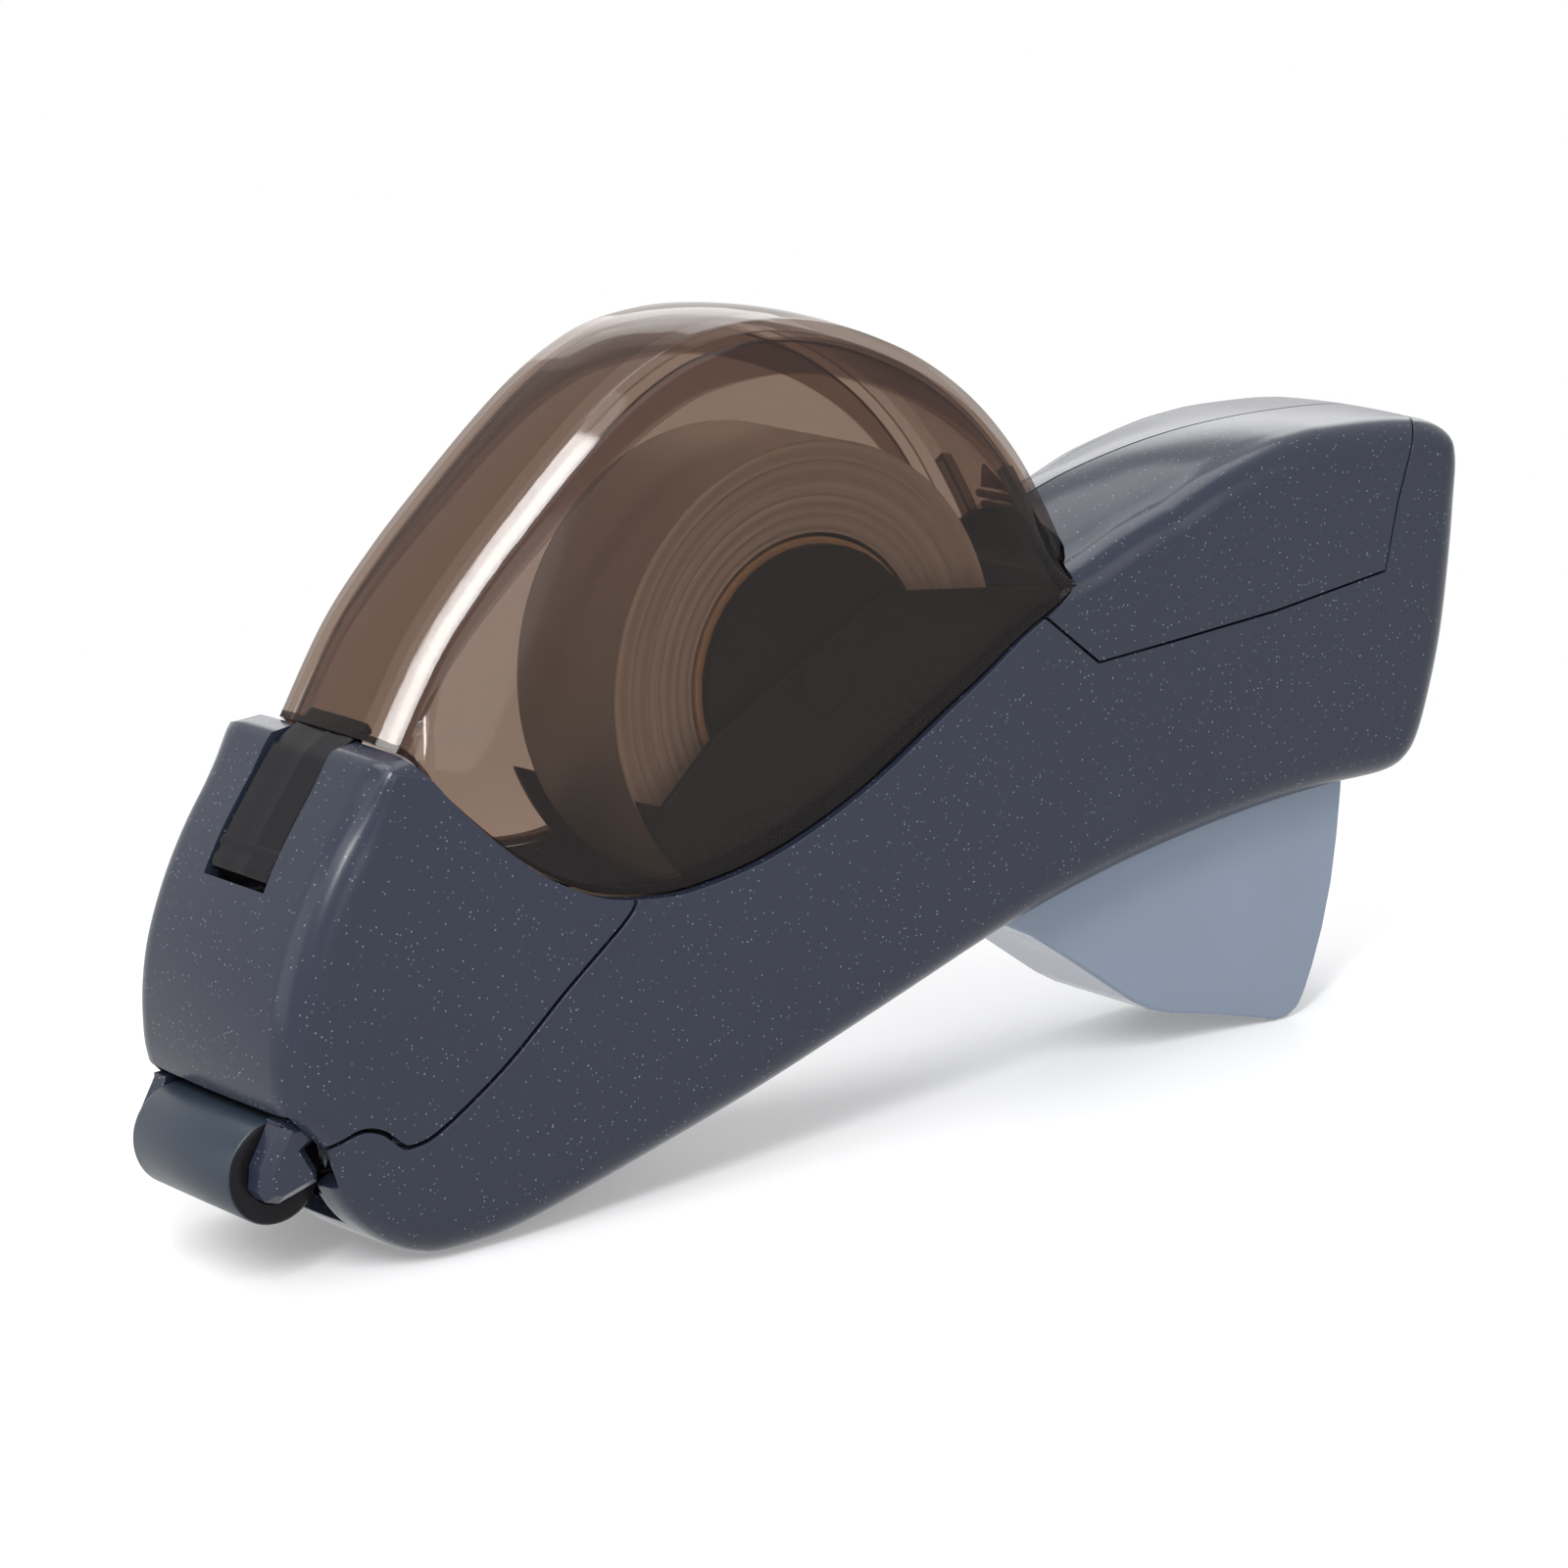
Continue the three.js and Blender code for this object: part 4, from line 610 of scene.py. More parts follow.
def rounded(made, width, segments=2, angle=50):
    """Rounds the sharp edges and keeps the large faces evenly shaded."""
    edge = made.modifiers.new("edges", "BEVEL")
    edge.width = width
    edge.segments = segments
    edge.limit_method = "ANGLE"
    edge.angle_limit = math.radians(angle)
    shading = made.modifiers.new("shading", "WEIGHTED_NORMAL")
    shading.keep_sharp = True


def cover_test(form):
    """Whether a point lies inside the cover, with the gap round it, at its own place across."""
    sizes = form.sizes
    half, radius = sizes.cover_top_width / 2, sizes.cover_edge_radius
    flat = half - radius
    most_bulge = 0.86
    slice_width = 0.1 * MM
    loops = {}

    def loop_at(y):
        if y <= flat:
            line = moved(form.cover_top, -sizes.cover_crown * (y / flat) ** 2)
        elif y <= half:
            rise = math.sqrt(max(1 - ((y - flat) / radius) ** 2, 0.0))
            line = moved(form.cover_top, -sizes.cover_crown - radius * (1 - rise))
        else:
            reach = (sizes.cover_rim_width - sizes.cover_top_width) / 2
            share = math.asin(min((y - half) / reach, most_bulge)) / (math.pi / 2)
            start = moved(form.cover_top, -sizes.cover_crown - radius)
            count = len(start) - 1
            rim = respaced(form.cover_rim, form.cover_length / count)
            foot = [rim[round(i * (len(rim) - 1) / count)] for i in range(len(start))]
            line = [p.lerp(q, share) for p, q in zip(start, foot)]
        return moved(line, sizes.gap) + form.rim_low[::-1]

    def test(point):
        key = round(abs(point.y) / slice_width)
        if key not in loops:
            loops[key] = loop_at(key * slice_width)
        return within(loops[key], point.x, point.z)

    return test


def piece(bm, name, material, body, replaces=(), smooth_angle=50):
    """Makes a named object of the mesh, riding on a body of the model."""
    mesh = bpy.data.meshes.new(name)
    bm.to_mesh(mesh)
    bm.free()
    for part in material if isinstance(material, list) else [material]:
        mesh.materials.append(part)
    mesh.shade_smooth()
    mesh.set_sharp_from_angle(angle=math.radians(smooth_angle))
    made = bpy.data.objects.new(name, mesh)
    bpy.context.scene.collection.objects.link(made)
    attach(made, body)
    if replaces:
        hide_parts(*replaces)
    return made


def mirrored(profile):
    """A closed profile of radii and places across, from its half on the right side."""
    return profile + [(radius, -y) for radius, y in profile[::-1]]


def turned(node, profile, segments):
    """A mesh turned about a solid's cross axis, from a closed loop of radii and places across."""
    bm = bmesh.new()
    x, z = middle_of(node).xz
    verts = [bm.verts.new((x + radius, y, z)) for radius, y in profile]
    edges = [bm.edges.new(pair) for pair in zip(verts, verts[1:] + verts[:1])]
    bmesh.ops.spin(bm, geom=verts + edges, cent=(x, 0, z), axis=(0, 1, 0), angle=2 * math.pi,
                   steps=segments, use_merge=True)
    bmesh.ops.remove_doubles(bm, verts=bm.verts, dist=0.001 * MM)
    bmesh.ops.recalc_face_normals(bm, faces=bm.faces)
    return bm


def push(bm, faces, way):
    """A block grown from flat faces, which stay as its other end."""
    grown = bmesh.ops.extrude_face_region(bm, geom=faces, use_keep_orig=True)
    verts = [part for part in grown["geom"] if isinstance(part, bmesh.types.BMVert)]
    bmesh.ops.translate(bm, verts=verts, vec=way)


def across(outline, from_y, to_y):
    """A mesh of one outline in X and Z, from one place across the tool to another."""
    bm = bmesh.new()
    push(bm, plate(bm, [(point.x, from_y, point.y) for point in outline]), (0, to_y - from_y, 0))
    bmesh.ops.recalc_face_normals(bm, faces=bm.faces)
    return bm


# Shader helpers.

class Wire:
    """One output of a node tree, with sums written as Python expressions."""

    def __init__(self, tree, output):
        self.tree = tree
        self.output = output

    def _sum(self, operation, left, right):
        """A Math node on two values, of which at least one is an output."""
        node = self.tree.nodes.new("ShaderNodeMath")
        node.operation = operation
        for socket, value in zip(node.inputs, (left, right)):
            if isinstance(value, Wire):
                self.tree.links.new(value.output, socket)
            else:
                socket.default_value = value
        return Wire(self.tree, node.outputs[0])

    def __add__(self, other):
        return self._sum("ADD", self, other)

    def __radd__(self, other):
        return self._sum("ADD", other, self)

    def __sub__(self, other):
        return self._sum("SUBTRACT", self, other)

    def __rsub__(self, other):
        return self._sum("SUBTRACT", other, self)

    def __mul__(self, other):
        return self._sum("MULTIPLY", self, other)

    def __rmul__(self, other):
        return self._sum("MULTIPLY", other, self)

    def __lt__(self, other):
        return self._sum("LESS_THAN", self, other)

    def __gt__(self, other):
        return self._sum("GREATER_THAN", self, other)


class Finish:
    """A material or world under construction."""

    def __init__(self, name, world=False):
        self.made = bpy.data.worlds.new(name) if world else bpy.data.materials.new(name)
        self.made.use_nodes = True
        self.tree = self.made.node_tree
        self.tree.nodes.clear()

    def add(self, kind, settings=None, inputs=None, output=0):
        """One node: its settings first, then the values or links of its sockets."""
        node = self.tree.nodes.new(kind)
        for name, value in (settings or {}).items():
            if name == "stops":
                ramp = node.color_ramp
                ends = (value[0], value[-1])
                for stop, (place, shade) in zip((ramp.elements[0], ramp.elements[1]), ends):
                    stop.position = place
                    stop.color = shade
                for place, shade in value[1:-1]:
                    ramp.elements.new(place).color = shade
            else:
                setattr(node, name, value)
        for name, value in (inputs or {}).items():
            if isinstance(value, Wire):
                self.tree.links.new(value.output, node.inputs[name])
            else:
                node.inputs[name].default_value = value
        return Wire(self.tree, node.outputs[output]) if node.outputs else None

    def mixed(self, factor, first, second):
        """A colour between two."""
        return self.add("ShaderNodeMix", {"data_type": "RGBA"},
                        {"Factor": factor, 6: first, 7: second}, output=2)

    def coordinates(self):
        """The place on the object."""
        return self.add("ShaderNodeTexCoord", output=3)

    def noise(self, scale, detail, vector):
        """A soft random pattern."""
        return self.add("ShaderNodeTexNoise", {},
                        {"Vector": vector, "Scale": scale, "Detail": detail})

    def bump(self, height, strength, distance):
        """A normal with fine relief."""
        return self.add("ShaderNodeBump", {},
                        {"Height": height, "Strength": strength, "Distance": distance})

    def principled(self, base, roughness, others=None):
        """The common shader, with the values or links of its other sockets."""
        inputs = {"Base Color": base, "Roughness": roughness}
        inputs.update(others or {})
        return self.add("ShaderNodeBsdfPrincipled", {}, inputs)

    def surface(self, shader):
        """Ends the tree with a shader and gives what was made."""
        kind = "World" if isinstance(self.made, bpy.types.World) else "Material"
        self.add(f"ShaderNodeOutput{kind}", {}, {"Surface": shader})
        return self.made


def rgba(value):
    """A colour with its full alpha."""
    return (*value[:3], 1.0)


def toned(shade, factor):
    """A colour made lighter or darker by a factor."""
    return rgba([min(part * factor, 1.0) for part in shade])


def body_finish(colours):
    """Dark blue-grey moulded plastic with fine pale specks and a soft gloss."""
    finish = Finish("body_plastic")
    place = finish.coordinates()
    cell = {"Vector": place, "Scale": 1700.0}
    from_middle = finish.add("ShaderNodeTexVoronoi", {"feature": "F1"}, cell)
    chance = finish.add("ShaderNodeTexVoronoi", {"feature": "F1"}, cell, output=1)
    pick = finish.add("ShaderNodeSeparateColor", {}, {"Color": chance})
    speck = (from_middle < 0.15) * (pick > 0.40)
    cloud = finish.noise(60.0, 3.0, place)
    tone = finish.mixed(cloud, toned(colours.body, 0.94), toned(colours.body, 1.06))
    tone = finish.mixed(speck * pick * 0.38, tone, rgba(colours.speck))
    grain = finish.bump(finish.noise(2600.0, 2.0, place), 0.12, 0.02 * MM)
    shader = finish.principled(tone, 0.20 + cloud * 0.07,
                               {"Normal": grain, "Specular IOR Level": 0.31})
    return finish.surface(shader)


def plain_plastic(name, shade, roughness, shine=0.5):
    """One-colour moulded plastic with a fine moulded grain."""
    finish = Finish(name)
    place = finish.coordinates()
    cloud = finish.noise(90.0, 3.0, place)
    tone = finish.mixed(cloud, toned(shade, 0.93), toned(shade, 1.07))
    rough = roughness - 0.04 + cloud * 0.08
    grain = finish.bump(finish.noise(1800.0, 2.0, place), 0.1, 0.02 * MM)
    shader = finish.principled(tone, rough, {"Normal": grain, "Specular IOR Level": shine})
    return finish.surface(shader)


def smoke_finish(colours, name, depth, share, bend=2.1):
    """See-through smoky plastic: it tints what lies behind and shines like a polished moulding."""
    finish = Finish(name)
    cloud = finish.noise(30.0, 1.0, finish.coordinates())
    tint = [part ** depth for part in colours.smoke_tint]
    clear = finish.add("ShaderNodeBsdfTransparent", {}, {"Color": rgba(tint)})
    haze = finish.mixed(cloud, toned(colours.smoke_body, 0.85), rgba(colours.smoke_body))
    shine = finish.principled(haze, 0.05 + cloud * 0.03, {"IOR": bend})
    slant = finish.add("ShaderNodeLayerWeight", {}, {"Blend": 0.5}, output=1)
    edge = slant * slant * slant * slant
    factor = share + edge * (0.95 - share)
    shader = finish.add("ShaderNodeMixShader", {}, {0: factor, 1: clear, 2: shine})
    return finish.surface(shader)


def tape_finish(colours, centre, name, share):
    """Wound clear tape at a share of its colour, where a share below 1 is painted shade: its
    windings show as fine rings on its edge.
    """
    finish = Finish(name)
    place = finish.coordinates()
    from_axis = finish.add("ShaderNodeVectorMath", {"operation": "SUBTRACT"},
                           {0: place, 1: centre})
    flat = finish.add("ShaderNodeVectorMath", {"operation": "MULTIPLY"},
                      {0: from_axis, 1: (1.0, 0.0, 1.0)})
    radius = finish.add("ShaderNodeVectorMath", {"operation": "LENGTH"}, {0: flat}, output=1)
    along = finish.add("ShaderNodeCombineXYZ", {}, {"X": radius})
    bands = finish.noise(900.0, 4.0, along)
    tones = ((0.25, 0.6), (0.5, 1.0), (0.75, 1.3))
    stops = [(stop, toned(colours.tape, tone * share)) for stop, tone in tones]
    shade = finish.add("ShaderNodeValToRGB", {"stops": stops}, {"Fac": bands})
    rings = finish.bump(finish.noise(5200.0, 1.0, along), 0.35, 0.05 * MM)
    return finish.surface(finish.principled(shade, 0.28 + bands * 0.15, {"Normal": rings}))


def card_finish(colours):
    """Pressed card with short fibres."""
    finish = Finish("pressed_card")
    fibre = finish.noise(700.0, 6.0, finish.coordinates())
    tone = finish.mixed(fibre, toned(colours.card, 0.75), toned(colours.card, 1.2))
    relief = finish.bump(fibre, 0.4, 0.05 * MM)
    return finish.surface(finish.principled(tone, 0.75 + fibre * 0.1, {"Normal": relief}))


def steel_finish(colours):
    """Plain bright steel with fine drawn lines."""
    finish = Finish("drawn_steel")
    stretched = finish.add("ShaderNodeMapping", {},
                           {"Vector": finish.coordinates(), "Scale": (300.0, 6000.0, 6000.0)})
    lines = finish.noise(1.0, 3.0, stretched)
    relief = finish.bump(lines, 0.15, 0.01 * MM)
    shader = finish.principled(rgba(colours.steel), 0.22 + lines * 0.14,
                               {"Metallic": 1.0, "Normal": relief})
    return finish.surface(shader)


_made = {}


def made_once(slot, maker):
    """The material of a slot, made when it is first asked for."""
    if slot not in _made:
        _made[slot] = maker()
    return _made[slot]


def finishes(scene):
    """The materials by slot."""
    colours = scene.dispenser_colours
    roll = middle_of("tape_roll")
    makers = {
        "body": lambda: body_finish(colours),
        "dark": lambda: plain_plastic("dark_plastic", colours.dark, 0.22, shine=0.11),
        "trigger": lambda: plain_plastic("trigger_plastic", colours.trigger, 0.225, shine=0.45),
        "roller": lambda: plain_plastic("roller_plastic", colours.roller, 0.34, shine=0.3),
        "white": lambda: plain_plastic("white_plastic", colours.white, 0.45),
        "smoke": lambda: smoke_finish(colours, "smoky_plastic", 1.0, 0.12),
        "smoke_bend": lambda: smoke_finish(colours, "smoky_bend", 2.6, 0.18),
        "smoke_edge": lambda: smoke_finish(colours, "smoky_edge", 5.0, 0.50, bend=1.3),
        # The top strip's copy is tinted deeper. It is a painted reflection of the inner far wall,
        # together with the longer slanted path through the strip.
        "smoke_top_painted_reflection": lambda: smoke_finish(colours, "smoky_top_painted_reflection", 1.9, 0.12),
        "tape": lambda: tape_finish(colours, roll, "wound_tape", 1.0),
        # The tread copy is the tape at 0.64 of its colour: painted shade for the roll's cylinder
        # face, which is lit less than its flat sides.
        "tread_painted_shade": lambda: tape_finish(colours, roll, "tape_tread", 0.64),
        "card": lambda: card_finish(colours),
        "steel": lambda: steel_finish(colours),
    }
    return {slot: made_once(slot, maker) for slot, maker in makers.items()}


# The moulded shells.

def side_name(side):
    """The name of a side, which is -1 or 1 as its Y is."""
    return "left" if side < 0 else "right"


def side_loop(form, outline_row, side, path):
    """A side face: the outer row's points, then a path of X and Z places closing the loop."""
    points = list(outline_row)
    points += [Vector((point.x, side * form.half_width(point.x), point.y)) for point in path]
    least = 0.02 * MM
    loop = [points[0]]
    for point in points[1:]:
        if (point - loop[-1]).length > least:
            loop.append(point)
    if (loop[0] - loop[-1]).length < least:
        loop.pop()
    return loop


def between(path, low, high):
    """The points of a path along X that lie between two places."""
    return [point for point in path if low < point.x < high]


def above_seam(form, shift):
    """A test for the nose's side of its seam, with the seam moved by a shift."""
    path = moved(form.nose_seam, shift)
    top = path[-1].x
    return lambda point: point.x < top and point.z > height_on(path, point.x)


def recess_rows(form):
    """Half the width of the roller's recess, and the edge rows with one of them on its border."""
    sizes = form.sizes
    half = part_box("front_frame_right")[1].y + sizes.gap
    flat = sizes.head_width / 2 - sizes.edge_radius
    border = math.degrees(math.asin((half - flat) / sizes.edge_radius))
    return half, [edge_row(math.radians(turn)) for turn in sorted(EDGE_TURNS + [border])]


def moulded(bm, form, name, node, finish, inside, softness):
    """Closes a sheet into a shell and gives it its wall, its rounded cut edges and its finish."""
    bmesh.ops.remove_doubles(bm, verts=bm.verts, dist=MERGE)
    creased(bm, form)
    face_out(bm, form.inner(inside))
    shell = piece(bm, name, finish["body"], "root", [node])
    thicken(shell, form.sizes.wall)
    rounded(shell, softness)


def build_nose(form, finish):
    """The nose, with the tongue's slot and the roller's recess cut out of it."""
    sizes = form.sizes
    half_slot = sizes.tongue_width / 2 + sizes.gap
    recess_half, edge_rows = recess_rows(form)
    flat = sizes.head_width / 2 - sizes.edge_radius
    rows = [pinned_row(y) for y in (0.0, half_slot / 2, half_slot, (half_slot + flat) / 2)]
    rows += [middle_row(1.0)] + edge_rows
    both = [(-1, row) for row in rows[:0:-1]] + [(1, row) for row in rows]

    def on_front(share):
        height = share * sizes.form_height
        face = form.x_at(NOSE_FACE_SHARE)
        return form.reach(lambda p: p.x < face and p.y > height, form.total / 2)

    def in_cover(point):
        return within(form.cover_loop, point.x, point.z)

    at_recess, at_slot = on_front(RECESS_TOP_SHARE), on_front(SLOT_BOTTOM_SHARE)
    last = on_front(NOSE_TOP_SHARE)
    in_nose = above_seam(form, 0.0)
    starts, ends = [], []
    for side, row in both:
        starts.append(form.crossing(row, side, at_recess, at_recess - SEAM_SEARCH, in_nose))
        ends.append(form.crossing(row, side, last, last + COVER_SEARCH, lambda p: not in_cover(p)))
    fixed = spread([at_recess, at_slot, last], sizes.step)
    grid = Rows(form, both, fixed, starts, ends, TRIM_STEPS, TRIM_STEPS)
    bm = bmesh.new()
    sheet(bm, grid.columns, len(both) - 1, grid.at)
    recess_to, slot_from = grid.column(at_recess), grid.column(at_slot)

    def opened(c, i):
        y = abs(c.y)
        return (y < recess_half and i < recess_to) or (y < half_slot and i >= slot_from)

    cut_window(bm, opened, grid.columns)
    seam_end = form.nose_seam[-1].x
    top = Vector((seam_end, height_on(form.rim_low, seam_end)))
    for side, j in ((-1, 0), (1, len(both) - 1)):
        edge = [grid.at(i, j) for i in range(grid.columns + 1)]
        rim = between(form.rim_low, edge[-1].x + 2 * APART, seam_end)
        seam = [p for p in form.nose_seam[::-1]
                if p.x > edge[0].x + 2 * APART and p.y < top.y - APART]
        plate(bm, side_loop(form, edge, side, rim + [top] + seam))
    moulded(bm, form, "nose_shell", "nose_cover", finish, (0.1, 0.4), sizes.soft_edge)


def rear_of_panel(form, shift):
    """A test for what lies behind the panel's slanted rear edge."""
    low, high = form.panel_seam[-2], form.panel_seam[-1]
    lean = (high.x - low.x) / (high.y - low.y)
    reach = PANEL_LEAN_SHARE * form.sizes.form_length

    def test(point):
        middle = reach * (1 - 2 * abs(point.y) / form.sizes.handle_width)
        return point.x > low.x + middle + shift + (point.z - low.y) * lean

    return test


def panel_path(form, shift, top):
    """The panel's seam on the side from its front to its rear, moved outwards by a shift."""
    path = moved(form.panel_seam, -shift)
    corner = path[-2]
    lean = (path[-1].x - corner.x) / (path[-1].y - corner.y)
    path[-1] = Vector((corner.x + (top - corner.y) * lean, top))
    return path


def on_rim(form, path):
    """A side seam cut off where it meets the cover's rim."""
    first, second = path[0], path[1]
    low, high = 0.0, 1.0
    for _ in range(RIM_HALVINGS):
        t = (low + high) / 2
        point = first.lerp(second, t)
        if point.y > height_on(form.rim_low, point.x):
            low = t
        else:
            high = t
    return [first.lerp(second, high)] + path[1:]


def build_half(form, finish, side):
    """A half of the body, with its part of the trigger's slot and of the openings at the foot."""
    sizes = form.sizes
    half_grip = half_of("trigger", 1) + 0.5 * MM
    roller_half = half_of("press_roller", 1) + sizes.gap
    recess_half, edge_rows = recess_rows(form)
    rows = [pinned_row(y) for y in (sizes.gap / 2, 3 * MM, 6 * MM, half_grip, roller_half)]
    rows += [middle_row(1.0)] + edge_rows
    behind = rear_of_panel(form, sizes.gap)
    in_nose = above_seam(form, -sizes.seam_gap)
    axle = middle_of("press_roller").xz
    recess_radius = half_of("press_roller", 2) + 0.7 * MM
    rear = form.rear_face()

    def ahead_of(x):
        return form.reach(lambda p: p.x < x, rear)

    slot_front, slot_rear = [ahead_of(form.x_at(share)) for share in GRIP_SLOT_SHARES]
    blade_rear = ahead_of(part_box("cutter_blade")[1].x + 0.6 * MM)
    at_recess = form.reach(lambda p: (p - axle).length < recess_radius, rear)
    at_arm = ahead_of(form.x_at(ARM_BACK_SHARE))
    fixed = spread([rear, slot_rear, slot_front, blade_rear, at_recess, at_arm], sizes.step)
    starts, ends = [], []
    for row in rows:
        starts.append(form.crossing(row, side, rear, rear - REAR_SEARCH, behind))
        ends.append(form.crossing(row, side, at_arm, at_arm + SEAM_SEARCH,
                                  lambda p: not in_nose(p)))
    grid = Rows(form, [(side, row) for row in rows], fixed, starts, ends, REAR_STEPS, TRIM_STEPS,
                curved_start=True)
    bm = bmesh.new()
    sheet(bm, grid.columns, len(rows) - 1, grid.at)
    grip_from, grip_to = grid.column(slot_rear), grid.column(slot_front)
    blade_from, roller_from = grid.column(blade_rear), grid.column(at_recess)
    arm_from = grid.column(at_arm)

    def opened(c, i):
        y = abs(c.y)
        at_grip = y < half_grip and (grip_from <= i < grip_to or i >= blade_from)
        at_roller = (y < recess_half and i >= arm_from) or (y < roller_half and i >= roller_from)
        return at_grip or at_roller

    cut_window(bm, opened, grid.columns)
    edge = [grid.at(i, len(rows) - 1) for i in range(grid.columns + 1)]
    seam_end = form.nose_seam[-1].x + sizes.seam_gap
    seam_top = Vector((seam_end, height_on(form.rim_low, seam_end)))
    seam = [p for p in moved(form.nose_seam, -sizes.seam_gap)
            if p.x > edge[-1].x + 2 * APART and p.y < seam_top.y - APART]
    panel = on_rim(form, panel_path(form, sizes.gap, edge[0].z))
    rim = between(form.rim_low, seam_top.x + APART, panel[0].x - APART)
    plate(bm, side_loop(form, edge, side, seam + [seam_top] + rim + panel[:-1]))
    name = side_name(side)
    moulded(bm, form, f"body_shell_{name}", f"body_{name}", finish, (0.45, 0.45), sizes.soft_edge)


def build_bulkhead(form, finish):
    """The wall across the handle's front end, just behind the cover's rear wall."""
    sizes = form.sizes
    rear = [p for p in form.cover_top if p.x > form.x_at(BULKHEAD_FROM_SHARE)]
    front = moved(rear, 2 * sizes.gap)
    foot, knee = form.place(BULKHEAD_FOOT), form.place(BULKHEAD_KNEE)
    path = [p for p in front if p.y < BULKHEAD_TOP_SHARE * sizes.form_height] + [knee, foot]
    back = [p + Vector((sizes.wall, 0)) for p in path]
    half = form.half_width(foot.x) - sizes.wall - 0.6 * MM
    bm = across(path + back[::-1], -half, half)
    for side in (-1, 1):
        corner = Vector((0, side * half, BULKHEAD_CORNER_SHARE * sizes.form_height))
        slope = Vector((0, side * 0.5, 0.866))
        bmesh.ops.bisect_plane(bm, geom=bm.verts[:] + bm.edges[:] + bm.faces[:], plane_co=corner,
                               plane_no=slope, clear_outer=True)
        bmesh.ops.holes_fill(bm, edges=[edge for edge in bm.edges if edge.is_boundary])
    bmesh.ops.recalc_face_normals(bm, faces=bm.faces)
    made = piece(bm, "handle_bulkhead", finish["body"], "root")
    rounded(made, 0.2 * MM)


def build_panel(form, finish, side):
    """A panel on top of the handle, from the cover's rear to the panel's slanted rear edge."""
    sizes = form.sizes
    rows = [pinned_row(sizes.gap / 2)]
    rows += [middle_row(share) for share in (0.2, 0.4, 0.6, 0.8, 0.9, 1.0)]
    rows += [edge_row(math.radians(turn)) for turn in EDGE_TURNS]
    behind = rear_of_panel(form, 0.0)
    in_cover = cover_test(form)
    anchor = form.reach(lambda p: p.x > form.x_at(PANEL_MIDDLE_SHARE))
    first, final = anchor - PANEL_SEARCH[0], anchor + PANEL_SEARCH[1]
    starts, ends = [], []
    for row in rows:
        starts.append(form.crossing(row, side, anchor, first, lambda p: not in_cover(p)))
        ends.append(form.crossing(row, side, anchor, final, lambda p: not behind(p)))
    evened = [(a + 2 * b + c) / 4 for a, b, c in zip(starts, starts[1:], starts[2:])]
    starts = [starts[0]] + evened + [starts[-1]]
    columns = round((ends[0] - starts[0]) / sizes.step)
    last = len(rows) - 1

    def shape(i, j):
        return form.at(starts[j] + (ends[j] - starts[j]) * i / columns, rows[j], side)

    bm = bmesh.new()
    sheet(bm, columns, last, shape)
    edge = [shape(i, last) for i in range(columns + 1)]
    panel = on_rim(form, panel_path(form, 0.0, edge[-1].z))
    rim = between(form.rim_low, panel[0].x + APART, edge[0].x - APART)
    plate(bm, side_loop(form, edge, side, panel[-2::-1] + rim))
    name = side_name(side)
    softness = 0.7 * sizes.soft_edge
    moulded(bm, form, f"panel_{name}", f"handle_panel_{name}", finish, (0.65, 0.5), softness)


def build_lips(form, finish, side):
    """The strips behind the side seams, which close the gaps between the shells."""
    sizes = form.sizes
    top = height_on(form.rim_low, form.nose_seam[-1].x)
    nose = [p for p in moved(form.nose_seam, -sizes.seam_gap / 2)
            if p.x > form.x_at(LIP_FRONT_SHARE) and p.y < top - sizes.gap]
    panel = on_rim(form, panel_path(form, sizes.gap / 2, form.panel_seam[-1].y))
    first, final = panel[0].lerp(panel[1], 0.2), panel[-2].lerp(panel[-1], 0.5)
    panel = respaced([first] + panel[1:-1] + [final], sizes.step)
    for seam, path in (("nose", nose), ("panel", panel)):
        low, high = moved(path, -LIP_REACH), moved(path, LIP_REACH)

        def shape(i, j):
            point = low[i].lerp(high[i], j)
            return Vector((point.x, side * (form.half_width(point.x) - sizes.wall), point.y))

        add_lip(f"{seam}_lip_{side_name(side)}", finish, path, shape, 0.0)


def build_keel_lip(form, finish):
    """The strip behind the bottom's middle seam, between the trigger's slot and the blade."""
    sizes = form.sizes
    start = form.rear_face()
    slot_front = form.x_at(GRIP_SLOT_SHARES[0]) - 1.0 * MM
    blade_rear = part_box("cutter_blade")[1].x + 1.2 * MM
    rear = form.reach(lambda p: p.x < slot_front, start)
    front = form.reach(lambda p: p.x < blade_rear, start)
    stations = spread([rear, front], sizes.step)
    path = moved([form.line[int(s / form.fine) % form.count] for s in stations], -sizes.wall)
    half = 1.5 * MM

    def shape(i, j):
        return Vector((path[i].x, (2 * j - 1) * half, path[i].y))

    add_lip("keel_lip", finish, path, shape, 30 * MM)


def add_lip(name, finish, path, shape, inside_rise):
    """A strip along a path, with its wall towards the inside, a rise above the path's middle."""
    bm = bmesh.new()
    sheet(bm, len(path) - 1, 1, shape)
    middle = path[len(path) // 2]
    face_out(bm, Vector((middle.x, 0, middle.y + inside_rise)))
    thicken(piece(bm, name, finish["body"], "root"), LIP_WALL)


# The cover. Its rows lie in the flat middle at a distance, on the edge's rounding at a turn, or
# down the side at a share of the way to the rim.

COVER_LAYERS = ("smoke", "smoke_bend", "smoke_top_painted_reflection", "smoke_edge")
COVER_TURNS = (0, 8, 16, 18, 72, 74, 82, 90)
COVER_DROPS = (0.06, 0.14, 0.24, 0.36, 0.5, 0.64, 0.78, 0.9, 0.983, 1.0)
COVER_BORDER = 0.006
BEND_FROM = math.radians(70)
BEND_TO = 0.1

# The thumb ribs in millimetres below the tab's top: the first one's edges, and their pitch.
RIB_FROM, RIB_TO, RIB_PITCH = 4.4, 5.1, 1.35


